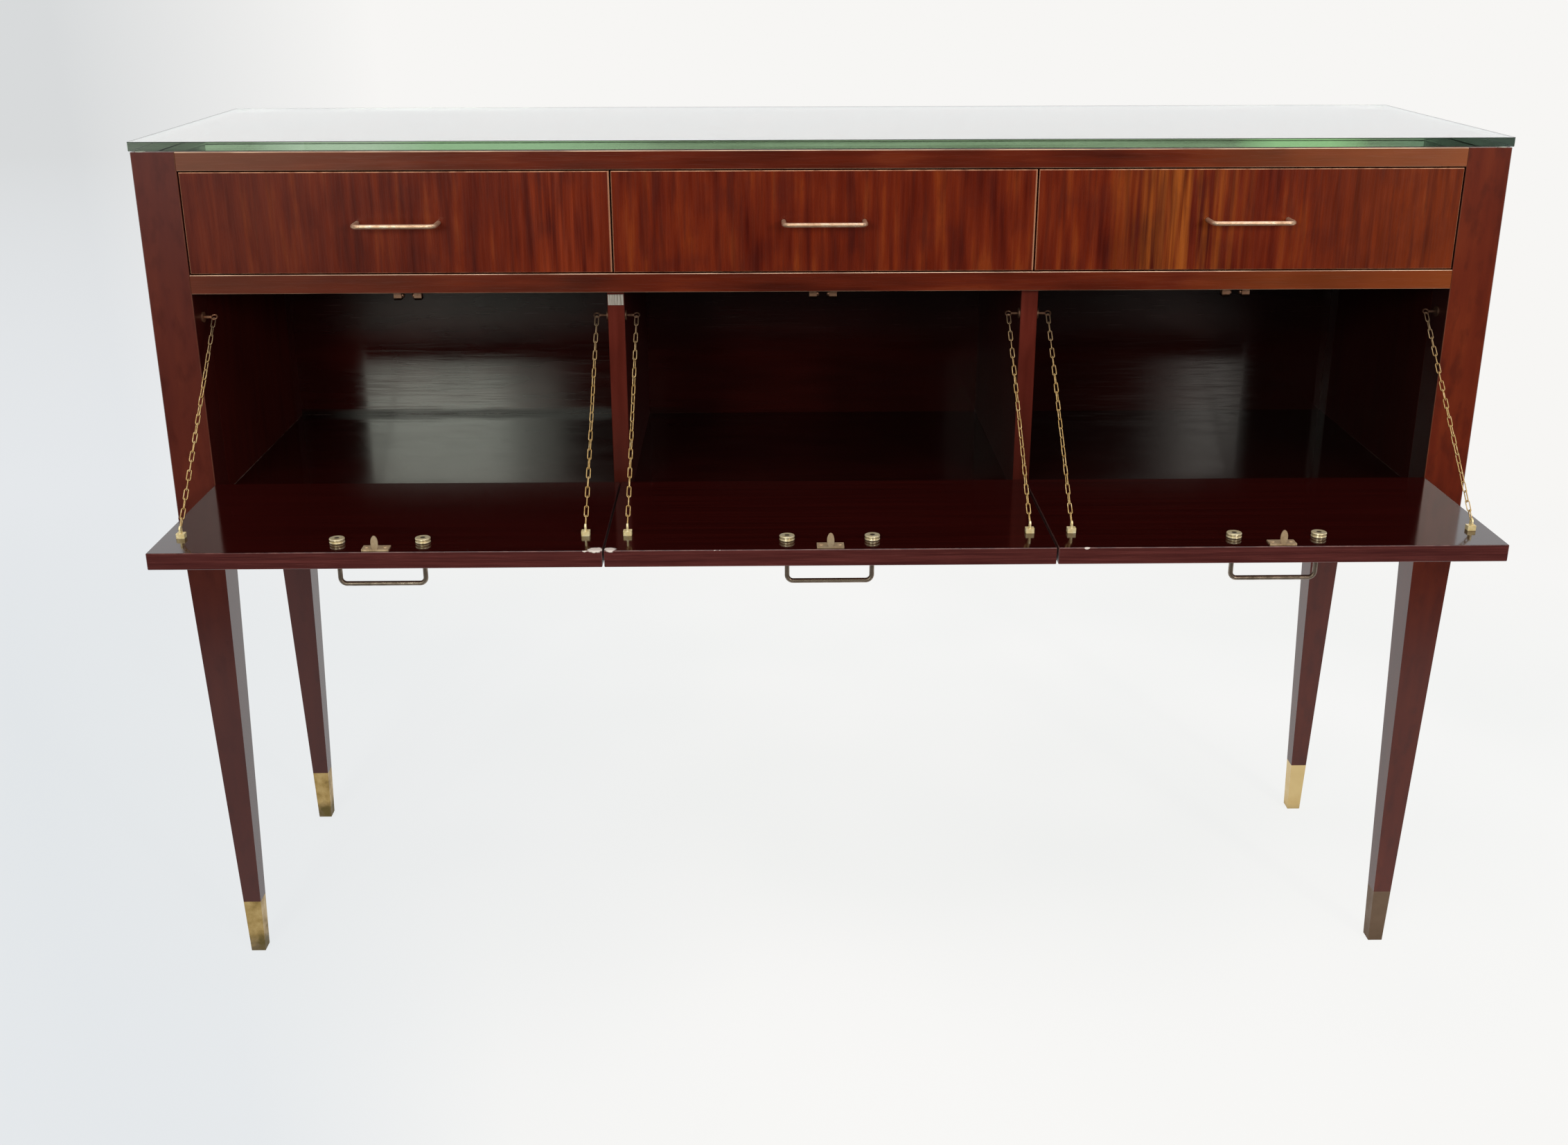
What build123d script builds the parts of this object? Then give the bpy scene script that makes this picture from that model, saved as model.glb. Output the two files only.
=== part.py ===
"""Sideboard with a glass top, a row of drawers and drop flaps that hang open on chains.

Millimetres. X runs along the front to the right, Y from the front to the back, Z up from the floor.
The origin lies on the floor, under the middle of the sideboard with its flaps open.
"""

import os

from build123d import *

# Carcass
carcass_width = 1500.0
carcass_depth = 406.0
leg_height = 596.0
bottom_thickness = 20.0
compartment_height = 241.0
shelf_thickness = 21.0
drawer_bay_height = 113.0
top_thickness = 20.0
side_thickness = 22.0
back_thickness = 8.0
back_inset = 12.0
divider_thickness = 19.0
divider_setback = 2.0
partition_thickness = 18.0
partition_setback = 1.5

# Posts, legs and sabots
post_size = 48.0
foot_size = 18.0
post_arris = 1.0
sabot_height = 74.0
sabot_wall = 1.4
sabot_floor = 2.5
sabot_clearance = 0.15
sabot_foot_round = 1.2

# Joinery
tenon_length = 20.0
tenon_thickness = 9.0
tenon_width = 24.0
panel_tongue_length = 10.0
panel_tongue_thickness = 8.0
board_tongue_length = 8.0
board_tongue_thickness = 8.0
back_tongue_length = 8.0
joint_clearance = 0.1
board_arris = 0.7
cut_overrun = 1.0

# Glass top
glass_thickness = 10.0
glass_overhang = 1.2
glass_arris = 0.6
pad_diameter = 11.0
pad_thickness = 1.0
pad_inset = 8.5

# Row of fronts, shared by the drawers and the flaps
bay_names = ("left", "centre", "right")
edge_gap = 1.5
between_gap = 2.0

# Drawers
drawer_front_thickness = 18.0
drawer_front_gap = 1.5
drawer_front_arris = 0.8
drawer_side_thickness = 12.0
drawer_side_height = 92.0
drawer_side_clearance = 1.0
drawer_slide_gap = 0.3
drawer_back_clearance = 8.0
drawer_back_inset = 10.0
drawer_dado_depth = 8.0
drawer_bottom_thickness = 5.0
drawer_bottom_rise = 7.0
drawer_groove_depth = 6.0
guide_height = 20.0
guide_setback = 2.0
stop_length = 25.0
stop_width = 40.0
stop_height = 5.0
stop_gap = 0.3
stop_spacing = 200.0

# Pulls of bent rod, with their nuts
rod_diameter = 5.0
pull_spacing = 89.0
pull_projection = 30.0
pull_bend = 6.5
rod_clearance = 0.2
nut_diameter = 16.0
nut_neck_diameter = 13.4
nut_flange_height = 1.9
nut_neck_height = 1.1
nut_cap_height = 2.2
nut_round = 0.8

# Flaps
flap_thickness = 18.0
flap_top_gap = 1.8
flap_arris = 0.7
flap_pull_setback = 31.0

# Butt hinges
hinge_length = 50.0
hinge_spacing = 300.0
hinge_gap = 1.2
hinge_fit = 0.3
leaf_width = 15.0
leaf_thickness = 1.6
knuckle_count = 3
knuckle_diameter = 5.2
knuckle_reach_gap = 0.5
knuckle_gap = 0.3
pin_diameter = 2.4
pin_clearance = 0.05

# Catches and strikes
strike_width = 28.0
strike_depth = 13.0
strike_thickness = 1.4
strike_setback = 4.5
tongue_width = 7.4
tongue_height = 16.0
tongue_neck_width = 4.6
tongue_neck_height = 5.0
jaw_length = 8.5
jaw_depth = 10.0
jaw_height = 12.0
jaw_round = 1.2
nose_diameter = 7.0
nose_length = 3.0
nose_round = 2.4
nose_clearance = 0.35

# Chains, their eyes on the carcass and their lugs on the flaps
link_pitch = 12.2
link_wire = 1.4
link_width = 5.4
link_corner = 1.5
link_gap = 0.2
link_turn = 90.0
eye_drop = 31.0
eye_setback = 27.0
eye_reach = 13.0
eye_ring_diameter = 8.2
eye_ring_wire = 1.8
eye_stem_diameter = 3.4
eye_stem_sink = 1.2
eye_rose_diameter = 12.0
eye_rose_thickness = 1.8
lug_inset = 21.0
lug_setback = 50.0
lug_width = 9.0
lug_depth = 8.0
lug_height = 5.0
lug_round = 0.8
lug_web_thickness = 1.8
lug_web_width = 6.4
lug_eye_height = 9.4
lug_eye_diameter = 2.6

# Pale pad on the left divider
divider_pad_height = 12.0
divider_pad_thickness = 1.0
divider_pad_drop = 6.0

# Levels from the floor up
floor_z = leg_height + bottom_thickness
shelf_under_z = floor_z + compartment_height
bay_floor_z = shelf_under_z + shelf_thickness
top_under_z = bay_floor_z + drawer_bay_height
top_z = top_under_z + top_thickness

# Hinge pins and open flaps
inner_half = carcass_width / 2 - post_size
flap_height = compartment_height - hinge_gap - flap_top_gap
pin_reach = knuckle_diameter / 2 + knuckle_reach_gap
flap_reach = pin_reach + hinge_gap / 2 + flap_height
front_y = (flap_reach - carcass_depth - glass_overhang) / 2
back_y = front_y + carcass_depth
pin_y = front_y - pin_reach
pin_z = floor_z + hinge_gap / 2
flap_free_y = front_y - flap_reach
flap_rear_y = pin_y - hinge_gap / 2
flap_under_z = pin_z + pin_reach
flap_top_z = flap_under_z + flap_thickness

# Depths inside the carcass
inner_front_y = front_y + post_size
inner_back_y = back_y - back_inset - back_thickness
divider_front_y = front_y + flap_thickness + divider_setback
drawer_front_back_y = front_y + drawer_front_thickness

# Places along the row of fronts
bay_count = len(bay_names)
front_width = (2 * (inner_half - edge_gap) - (bay_count - 1) * between_gap) / bay_count
bay_pitch = front_width + between_gap
bay_centres = [(index - (bay_count - 1) / 2) * bay_pitch for index in range(bay_count)]
divider_centres = [centre + bay_pitch / 2 for centre in bay_centres[:-1]]
drawer_half = (bay_pitch - partition_thickness) / 2 - drawer_side_clearance

# Places on the flaps
flap_pull_y = flap_free_y + flap_pull_setback
strike_y = flap_free_y + strike_setback
lug_y = flap_free_y + lug_setback
nut_height = nut_flange_height + nut_neck_height + nut_cap_height

os.makedirs("parts", exist_ok=True)


def save(piece, label):
    """Labels a finished piece and writes it."""
    piece.part.label = label
    export_step(piece.part, f"parts/{label}.step")


def block(low, high, mode=Mode.ADD):
    """Adds or cuts the box between two opposite corners."""
    size = [end - start for start, end in zip(low, high)]
    middle = [(start + end) / 2 for start, end in zip(low, high)]
    with Locations(tuple(middle)):
        Box(*size, mode=mode)


def leg_size(height):
    """Width of the square leg at a height above the floor."""
    return foot_size + (post_size - foot_size) * height / leg_height


def tapered_leg(centre, low_z, high_z, inset, mode=Mode.ADD):
    """Adds or cuts a stretch of the square taper, drawn in by an inset on every side."""
    sections = []
    for level in (low_z, high_z):
        with BuildSketch(Plane.XY.offset(level)) as section:
            with Locations(centre):
                Rectangle(leg_size(level) - 2 * inset, leg_size(level) - 2 * inset)
        sections.append(section.sketch)
    loft(sections, mode=mode)


def post_centre(side, end):
    """Middle of a post; side is -1 at the left, end is -1 at the front."""
    middle_y = (front_y + back_y) / 2
    return (side * (inner_half + post_size / 2), middle_y + end * (carcass_depth - post_size) / 2)


def rail_tenons(low_z, thickness, slack, mode):
    """Adds tenons at both ends of a front rail, or cuts their mortises with some slack."""
    middle_z = low_z + thickness / 2
    middle_y = front_y + post_size / 2
    half_width = tenon_width / 2 + slack
    half_thickness = tenon_thickness / 2 + slack
    for side in (-1, 1):
        root, tip = sorted((side * inner_half, side * (inner_half + tenon_length + slack)))
        block(
            (root, middle_y - half_width, middle_z - half_thickness),
            (tip, middle_y + half_width, middle_z + half_thickness),
            mode,
        )


def board_tongues(low_z, thickness, slack, mode):
    """Adds tongues at both ends of a board, or cuts their housings with some slack."""
    middle_z = low_z + thickness / 2
    half_thickness = board_tongue_thickness / 2 + slack
    setback = joint_clearance - slack
    for side in (-1, 1):
        root, tip = sorted((side * inner_half, side * (inner_half + board_tongue_length + slack)))
        block(
            (root, inner_front_y + setback, middle_z - half_thickness),
            (tip, back_y - post_size - setback, middle_z + half_thickness),
            mode,
        )


def side_tongues(side, slack, mode):
    """Adds the tongues along both edges of a side panel, or cuts their grooves with some slack."""
    middle_x = inner_half + side_thickness / 2
    half_thickness = panel_tongue_thickness / 2 + slack
    low_x, high_x = sorted((side * (middle_x - half_thickness), side * (middle_x + half_thickness)))
    reach = panel_tongue_length + slack
    block((low_x, inner_front_y - reach, leg_height), (high_x, inner_front_y, top_under_z), mode)
    block((low_x, back_y - post_size, leg_height), (high_x, back_y - post_size + reach, top_under_z), mode)


# Corner posts, square in the carcass and tapered below it, with a spigot for the sabot
for end, end_name in ((-1, "front"), (1, "back")):
    for side, side_name in ((-1, "left"), (1, "right")):
        centre = post_centre(side, end)
        with BuildPart() as post:
            with BuildSketch(Plane.XY.offset(leg_height)):
                with Locations(centre):
                    Rectangle(post_size, post_size)
            extrude(amount=top_z - leg_height)
            chamfer(post.edges().filter_by(Axis.Z), length=post_arris)
            tapered_leg(centre, sabot_height, leg_height, 0)
            tapered_leg(centre, sabot_floor, sabot_height, sabot_wall + sabot_clearance)
            side_tongues(side, joint_clearance, Mode.SUBTRACT)
            if end < 0:
                rail_tenons(shelf_under_z, shelf_thickness, joint_clearance, Mode.SUBTRACT)
                rail_tenons(top_under_z, top_thickness, joint_clearance, Mode.SUBTRACT)
            else:
                groove = back_tongue_length + joint_clearance
                block(
                    (-inner_half - groove, inner_back_y - joint_clearance, leg_height),
                    (inner_half + groove, inner_back_y + back_thickness + joint_clearance, top_under_z),
                    Mode.SUBTRACT,
                )
        save(post, f"post_{end_name}_{side_name}")

with BuildPart() as leg_sabots:
    for end in (-1, 1):
        for side in (-1, 1):
            tapered_leg(post_centre(side, end), 0, sabot_height, 0)
    fillet(leg_sabots.edges().group_by(Axis.Z)[0], radius=sabot_foot_round)
    for end in (-1, 1):
        for side in (-1, 1):
            tapered_leg(post_centre(side, end), sabot_floor, sabot_height, sabot_wall, Mode.SUBTRACT)
save(leg_sabots, "leg_sabots")

# Side panels, flush with the inner faces of the posts
for side, side_name in ((-1, "left"), (1, "right")):
    with BuildPart() as side_panel:
        inner_x, outer_x = sorted((side * inner_half, side * (inner_half + side_thickness)))
        block((inner_x, inner_front_y, leg_height), (outer_x, back_y - post_size, top_under_z))
        side_tongues(side, -joint_clearance, Mode.ADD)
        board_tongues(leg_height, bottom_thickness, joint_clearance, Mode.SUBTRACT)
        board_tongues(shelf_under_z, shelf_thickness, joint_clearance, Mode.SUBTRACT)
    save(side_panel, f"side_panel_{side_name}")

with BuildPart() as back_panel:
    back_half = inner_half + back_tongue_length
    block((-back_half, inner_back_y, leg_height), (back_half, inner_back_y + back_thickness, top_under_z))
save(back_panel, "back_panel")

# Rails and boards between the ends
with BuildPart() as bottom_panel:
    block((-inner_half, front_y, leg_height), (inner_half, inner_back_y, floor_z))
    front_edges = bottom_panel.faces().sort_by(Axis.Y)[0].edges().filter_by(Axis.X)
    chamfer(front_edges, length=board_arris)
    board_tongues(leg_height, bottom_thickness, 0, Mode.ADD)
    recess = hinge_length / 2 + hinge_fit
    for centre in bay_centres:
        for hinge_x in (centre - hinge_spacing / 2, centre + hinge_spacing / 2):
            block(
                (hinge_x - recess, front_y - cut_overrun, floor_z - leaf_thickness),
                (hinge_x + recess, front_y + leaf_width + hinge_fit, floor_z + cut_overrun),
                Mode.SUBTRACT,
            )
save(bottom_panel, "bottom_panel")

for label, low_z, thickness in (
    ("middle_front_rail", shelf_under_z, shelf_thickness),
    ("top_front_rail", top_under_z, top_thickness),
):
    with BuildPart() as rail:
        block((-inner_half, front_y, low_z), (inner_half, inner_front_y, low_z + thickness))
        front_edges = rail.faces().sort_by(Axis.Y)[0].edges().filter_by(Axis.X)
        chamfer(front_edges, length=board_arris)
        rail_tenons(low_z, thickness, 0, Mode.ADD)
    save(rail, label)

with BuildPart() as drawer_shelf:
    block((-inner_half, inner_front_y, shelf_under_z), (inner_half, inner_back_y, bay_floor_z))
    board_tongues(shelf_under_z, shelf_thickness, 0, Mode.ADD)
save(drawer_shelf, "drawer_shelf")

# Top panel, which lies on the side panels and the back panel and closes the carcass between the posts
with BuildPart() as top_panel:
    half = carcass_width / 2
    block((-inner_half, inner_front_y, top_under_z), (inner_half, back_y, top_z))
    block((-half, inner_front_y, top_under_z), (half, back_y - post_size, top_z))
    ends = top_panel.faces().sort_by(Axis.X)
    outer_edges = ends[0].edges().filter_by(Axis.Y) + ends[-1].edges().filter_by(Axis.Y)
    outer_edges += top_panel.faces().sort_by(Axis.Y)[-1].edges().filter_by(Axis.X)
    chamfer(outer_edges, length=board_arris)
save(top_panel, "top_panel")

for centre, side_name in zip(divider_centres, ("left", "right")):
    with BuildPart() as divider:
        half = divider_thickness / 2
        block((centre - half, divider_front_y, floor_z), (centre + half, inner_back_y, shelf_under_z))
        front_edges = divider.faces().sort_by(Axis.Y)[0].edges().filter_by(Axis.Z)
        chamfer(front_edges, length=board_arris)
    save(divider, f"divider_{side_name}")

with BuildPart() as divider_pad:
    half = divider_thickness / 2 - board_arris
    pad_top = shelf_under_z - divider_pad_drop
    block(
        (divider_centres[0] - half, divider_front_y - divider_pad_thickness, pad_top - divider_pad_height),
        (divider_centres[0] + half, divider_front_y, pad_top),
    )
save(divider_pad, "divider_pad")

with BuildPart() as drawer_partitions:
    for centre in divider_centres:
        half = partition_thickness / 2
        block(
            (centre - half, drawer_front_back_y + partition_setback, bay_floor_z),
            (centre + half, inner_back_y, top_under_z),
        )
save(drawer_partitions, "drawer_partitions")

with BuildPart() as drawer_guides_and_stops:
    guide_x = bay_centres[-1] + drawer_half + drawer_side_clearance
    for side in (-1, 1):
        low_x, high_x = sorted((side * guide_x, side * inner_half))
        block(
            (low_x, drawer_front_back_y + guide_setback, bay_floor_z),
            (high_x, inner_back_y, bay_floor_z + guide_height),
        )
    stop_y = drawer_front_back_y + stop_gap
    for centre in bay_centres:
        for stop_x in (centre - stop_spacing / 2, centre + stop_spacing / 2):
            block(
                (stop_x - stop_width / 2, stop_y, bay_floor_z),
                (stop_x + stop_width / 2, stop_y + stop_length, bay_floor_z + stop_height),
            )
save(drawer_guides_and_stops, "drawer_guides_and_stops")

# Glass top on its pads
with BuildPart() as glass_top:
    glass_z = top_z + pad_thickness
    block(
        (-carcass_width / 2 - glass_overhang, front_y - glass_overhang, glass_z),
        (carcass_width / 2 + glass_overhang, back_y + glass_overhang, glass_z + glass_thickness),
    )
    chamfer(glass_top.edges(), length=glass_arris)
save(glass_top, "glass_top")

with BuildPart() as glass_pads:
    with Locations((0, (front_y + back_y) / 2, top_z)):
        with GridLocations(carcass_width - 2 * pad_inset, carcass_depth - 2 * pad_inset, 2, 2):
            Cylinder(
                pad_diameter / 2, pad_thickness, align=(Align.CENTER, Align.CENTER, Align.MIN)
            )
save(glass_pads, "glass_pads")


def make_pull(face, face_thickness, label):
    """Bow pull on a plane whose X runs along the bar and whose Y points out of the face."""
    half = pull_spacing / 2
    reach = pull_projection - rod_diameter / 2
    tail = face_thickness + nut_height
    with BuildPart() as pull:
        with BuildLine(face) as bow:
            FilletPolyline((-half, -tail), (-half, reach), (half, reach), (half, -tail), radius=pull_bend)
        with BuildSketch(Plane(origin=bow.line @ 0, z_dir=bow.line % 0)):
            Circle(rod_diameter / 2)
        sweep()
    save(pull, label)


def make_nuts(inner_face, label):
    """Round ribbed nuts of a pull, on a plane whose Z points away from the wood."""
    steps = (
        (nut_diameter, nut_flange_height),
        (nut_neck_diameter, nut_neck_height),
        (nut_diameter, nut_cap_height),
    )
    with BuildPart() as nuts:
        level = 0
        for diameter, height in steps:
            with BuildSketch(inner_face.offset(level)):
                with GridLocations(pull_spacing, 0, 2, 1):
                    Circle(diameter / 2)
                    Circle(rod_diameter / 2 + rod_clearance, mode=Mode.SUBTRACT)
            extrude(amount=height)
            level += height
        rims = nuts.edges().filter_by(GeomType.CIRCLE)
        fillet([rim for rim in rims if rim.radius > nut_neck_diameter / 2], radius=nut_round)
    save(nuts, label)


def pull_holes(inner_face, face_thickness):
    """Cuts the two holes of a pull, from a plane on the inner face that points away from the wood."""
    with BuildSketch(inner_face.offset(cut_overrun)) as holes:
        with GridLocations(pull_spacing, 0, 2, 1):
            Circle(rod_diameter / 2 + rod_clearance)
    extrude(holes.sketch, amount=-face_thickness - 2 * cut_overrun, mode=Mode.SUBTRACT)


def make_drawer(name, centre):
    """Front, sides with back, bottom, pull and nuts of one drawer."""
    pull_z = (bay_floor_z + top_under_z) / 2
    outer_face = Plane(origin=(centre, front_y, pull_z), x_dir=(1, 0, 0), z_dir=(0, 0, -1))
    inner_face = Plane(origin=(centre, drawer_front_back_y, pull_z), x_dir=(1, 0, 0), z_dir=(0, 1, 0))
    side_low_z = bay_floor_z + drawer_slide_gap
    side_high_z = side_low_z + drawer_side_height
    bottom_low_z = side_low_z + drawer_bottom_rise
    bottom_high_z = bottom_low_z + drawer_bottom_thickness
    inner_side = drawer_half - drawer_side_thickness
    rear_y = inner_back_y - drawer_back_clearance
    back_low_y = rear_y - drawer_back_inset - drawer_side_thickness
    bottom_half = inner_side + drawer_groove_depth

    with BuildPart() as front:
        half = front_width / 2
        block(
            (centre - half, front_y, bay_floor_z + drawer_front_gap),
            (centre + half, drawer_front_back_y, top_under_z - drawer_front_gap),
        )
        chamfer(front.faces().sort_by(Axis.Y)[0].edges(), length=drawer_front_arris)
        for side in (-1, 1):
            dado_ends = (side * (inner_side - joint_clearance), side * (drawer_half + joint_clearance))
            low_x, high_x = sorted(dado_ends)
            block(
                (centre + low_x, drawer_front_back_y - drawer_dado_depth, side_low_z - joint_clearance),
                (centre + high_x, drawer_front_back_y, side_high_z + joint_clearance),
                Mode.SUBTRACT,
            )
        block(
            (centre - inner_side, drawer_front_back_y - drawer_groove_depth, bottom_low_z - joint_clearance),
            (centre + inner_side, drawer_front_back_y, bottom_high_z + joint_clearance),
            Mode.SUBTRACT,
        )
        pull_holes(inner_face, drawer_front_thickness)
    save(front, f"drawer_{name}_front")

    with BuildPart() as sides_and_back:
        for side in (-1, 1):
            low_x, high_x = sorted((side * inner_side, side * drawer_half))
            block(
                (centre + low_x, drawer_front_back_y - drawer_dado_depth + joint_clearance, side_low_z),
                (centre + high_x, rear_y, side_high_z),
            )
        block(
            (centre - bottom_half - joint_clearance, drawer_front_back_y - drawer_dado_depth,
             bottom_low_z - joint_clearance),
            (centre + bottom_half + joint_clearance, rear_y, bottom_high_z + joint_clearance),
            Mode.SUBTRACT,
        )
        block(
            (centre - inner_side + joint_clearance, back_low_y, bottom_high_z + joint_clearance),
            (centre + inner_side - joint_clearance, back_low_y + drawer_side_thickness, side_high_z),
        )
    save(sides_and_back, f"drawer_{name}_sides_and_back")

    with BuildPart() as bottom:
        block(
            (centre - bottom_half, drawer_front_back_y - drawer_groove_depth + joint_clearance, bottom_low_z),
            (centre + bottom_half, back_low_y + drawer_side_thickness, bottom_high_z),
        )
    save(bottom, f"drawer_{name}_bottom")

    make_pull(outer_face, drawer_front_thickness, f"drawer_{name}_pull")
    make_nuts(inner_face, f"drawer_{name}_pull_nuts")


def hinge_section(x):
    """Plane across the hinge pins at a place along the front."""
    return Plane(origin=(x, pin_y, pin_z), x_dir=(0, 1, 0), z_dir=(1, 0, 0))


def knuckles(hinge_x, stretches):
    """Adds stretches of a hinge barrel round the pin, given along the hinge."""
    for start, end in stretches:
        with BuildSketch(hinge_section(hinge_x + start)) as barrel:
            Circle(knuckle_diameter / 2)
        extrude(barrel.sketch, amount=end - start)


def pin_hole(hinge_x):
    """Cuts the pin's running hole through a hinge barrel."""
    with BuildSketch(hinge_section(hinge_x - hinge_length / 2 - cut_overrun)) as hole:
        Circle(pin_diameter / 2 + pin_clearance)
    extrude(hole.sketch, amount=hinge_length + 2 * cut_overrun, mode=Mode.SUBTRACT)


def knuckle_room(hinge_x, stretches):
    """Cuts a leaf back from the stretches of barrel that belong to the other leaf."""
    room = knuckle_diameter / 2 + knuckle_gap
    for start, end in stretches:
        block(
            (hinge_x + start - knuckle_gap, pin_y - room, pin_z - room),
            (hinge_x + end + knuckle_gap, pin_y + room, pin_z + room),
            Mode.SUBTRACT,
        )


hinge_half = hinge_length / 2
knuckle_length = hinge_length / knuckle_count
fixed_stretches = ((-hinge_half, -knuckle_length / 2), (knuckle_length / 2, hinge_half))
moving_stretches = ((knuckle_gap - knuckle_length / 2, knuckle_length / 2 - knuckle_gap),)


def make_flap(name, centre):
    """Panel, pull, nuts, strike, chain lugs and moving hinge leaves of one flap, hanging open."""
    hinge_places = (centre - hinge_spacing / 2, centre + hinge_spacing / 2)
    outer_face = Plane(origin=(centre, flap_pull_y, flap_under_z), x_dir=(1, 0, 0), z_dir=(0, 1, 0))
    inner_face = Plane(origin=(centre, flap_pull_y, flap_top_z), x_dir=(1, 0, 0), z_dir=(0, 0, 1))

    with BuildPart() as panel:
        half = front_width / 2
        block((centre - half, flap_free_y, flap_under_z), (centre + half, flap_rear_y, flap_top_z))
        chamfer(panel.edges(), length=flap_arris)
        recess = hinge_length / 2 + hinge_fit
        for hinge_x in hinge_places:
            block(
                (hinge_x - recess, flap_rear_y - leaf_thickness, flap_under_z - cut_overrun),
                (hinge_x + recess, flap_rear_y + cut_overrun, flap_under_z + leaf_width + hinge_fit),
                Mode.SUBTRACT,
            )
        pull_holes(inner_face, flap_thickness)
    save(panel, f"flap_{name}_panel")

    make_pull(outer_face, flap_thickness, f"flap_{name}_pull")
    make_nuts(inner_face, f"flap_{name}_pull_nuts")

    with BuildPart() as strike:
        half = strike_width / 2
        block(
            (centre - half, strike_y, flap_top_z),
            (centre + half, strike_y + strike_depth, flap_top_z + strike_thickness),
        )
        upright = Plane(origin=(centre, strike_y, flap_top_z), x_dir=(1, 0, 0), z_dir=(0, -1, 0))
        with BuildSketch(upright):
            with Locations((0, tongue_height / 2)):
                Ellipse(tongue_width / 2, tongue_height / 2)
            with Locations((0, tongue_neck_height / 2)):
                Rectangle(tongue_neck_width, tongue_neck_height)
        extrude(amount=-strike_thickness)
    save(strike, f"flap_{name}_strike")

    with BuildPart() as lugs:
        for side in (-1, 1):
            lug_x = centre + side * (front_width / 2 - lug_inset)
            foot = (lug_x - lug_width / 2, lug_y - lug_depth / 2, flap_top_z)
            head = (lug_x + lug_width / 2, lug_y + lug_depth / 2, flap_top_z + lug_height)
            block(foot, head)
        fillet(lugs.edges().filter_by(Axis.Z), radius=lug_round)
        for side in (-1, 1):
            lug_x = centre + side * (front_width / 2 - lug_inset)
            web_x = lug_x - lug_web_thickness / 2
            with BuildSketch(Plane(origin=(web_x, lug_y, flap_top_z), x_dir=(0, 1, 0), z_dir=(1, 0, 0))):
                with Locations((0, lug_eye_height / 2)):
                    Rectangle(lug_web_width, lug_eye_height)
                with Locations((0, lug_eye_height)):
                    Circle(lug_web_width / 2)
                    Circle(lug_eye_diameter / 2, mode=Mode.SUBTRACT)
            extrude(amount=lug_web_thickness)
    save(lugs, f"flap_{name}_chain_lugs")

    with BuildPart() as leaves:
        for hinge_x in hinge_places:
            block(
                (hinge_x - hinge_half, flap_rear_y - leaf_thickness, pin_z),
                (hinge_x + hinge_half, flap_rear_y, flap_under_z + leaf_width),
            )
            knuckle_room(hinge_x, fixed_stretches)
            knuckles(hinge_x, moving_stretches)
            pin_hole(hinge_x)
    save(leaves, f"flap_{name}_hinge_leaves")


for name, centre in zip(bay_names, bay_centres):
    make_drawer(name, centre)
    make_flap(name, centre)

# Fixed hinge leaves, let into the bottom panel, with their pins
with BuildPart() as fixed_hinge_leaves:
    for centre in bay_centres:
        for hinge_x in (centre - hinge_spacing / 2, centre + hinge_spacing / 2):
            block(
                (hinge_x - hinge_half, pin_y, floor_z - leaf_thickness),
                (hinge_x + hinge_half, front_y + leaf_width, floor_z),
            )
            knuckle_room(hinge_x, moving_stretches)
            knuckles(hinge_x, fixed_stretches)
            pin_hole(hinge_x)
            with BuildSketch(hinge_section(hinge_x - hinge_half)):
                Circle(pin_diameter / 2)
            extrude(amount=hinge_length)
save(fixed_hinge_leaves, "fixed_hinge_leaves")

# Spring catch jaws under the middle rail, where the strikes arrive when the flaps close
with BuildPart() as flap_catches:
    nose_z = pin_z + (pin_y - strike_y) - strike_thickness / 2
    nose_y = front_y + flap_thickness + tongue_height / 2
    nose_tip = tongue_width / 2 + nose_clearance
    for centre in bay_centres:
        for side in (-1, 1):
            jaw_start = nose_tip + nose_length
            low_x, high_x = sorted((side * jaw_start, side * (jaw_start + jaw_length)))
            block(
                (centre + low_x, nose_y - jaw_depth / 2, shelf_under_z - jaw_height),
                (centre + high_x, nose_y + jaw_depth / 2, shelf_under_z),
            )
    lower_edges = flap_catches.faces().filter_by(Axis.Z).group_by(Axis.Z)[0].edges()
    fillet(lower_edges, radius=jaw_round)
    for centre in bay_centres:
        for side in (-1, 1):
            root = (centre + side * (nose_tip + nose_length), nose_y, nose_z)
            with BuildSketch(Plane(origin=root, x_dir=(0, 1, 0), z_dir=(-side, 0, 0))):
                Circle(nose_diameter / 2)
            extrude(amount=nose_length)
    rims = flap_catches.edges().filter_by(GeomType.CIRCLE)
    rims = [rim for rim in rims if abs(rim.radius - nose_diameter / 2) < joint_clearance]
    tip_reach = nose_tip + joint_clearance
    tips = [rim for rim in rims for centre in bay_centres if abs(rim.center().X - centre) < tip_reach]
    fillet(tips, radius=nose_round)
save(flap_catches, "flap_catches")


def chain_ends(centre, side):
    """Wall that one chain hangs from, middle of its upper eye's ring and middle of its lug's eye."""
    joint_x = centre + side * bay_pitch / 2
    wall_x = joint_x - side * divider_thickness / 2
    if abs(joint_x) > inner_half - bay_pitch / 2:
        wall_x = side * inner_half
    upper = Vector(wall_x - side * eye_reach, front_y + eye_setback, shelf_under_z - eye_drop)
    lower = Vector(centre + side * (front_width / 2 - lug_inset), lug_y, flap_top_z + lug_eye_height)
    return wall_x, upper, lower


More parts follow.
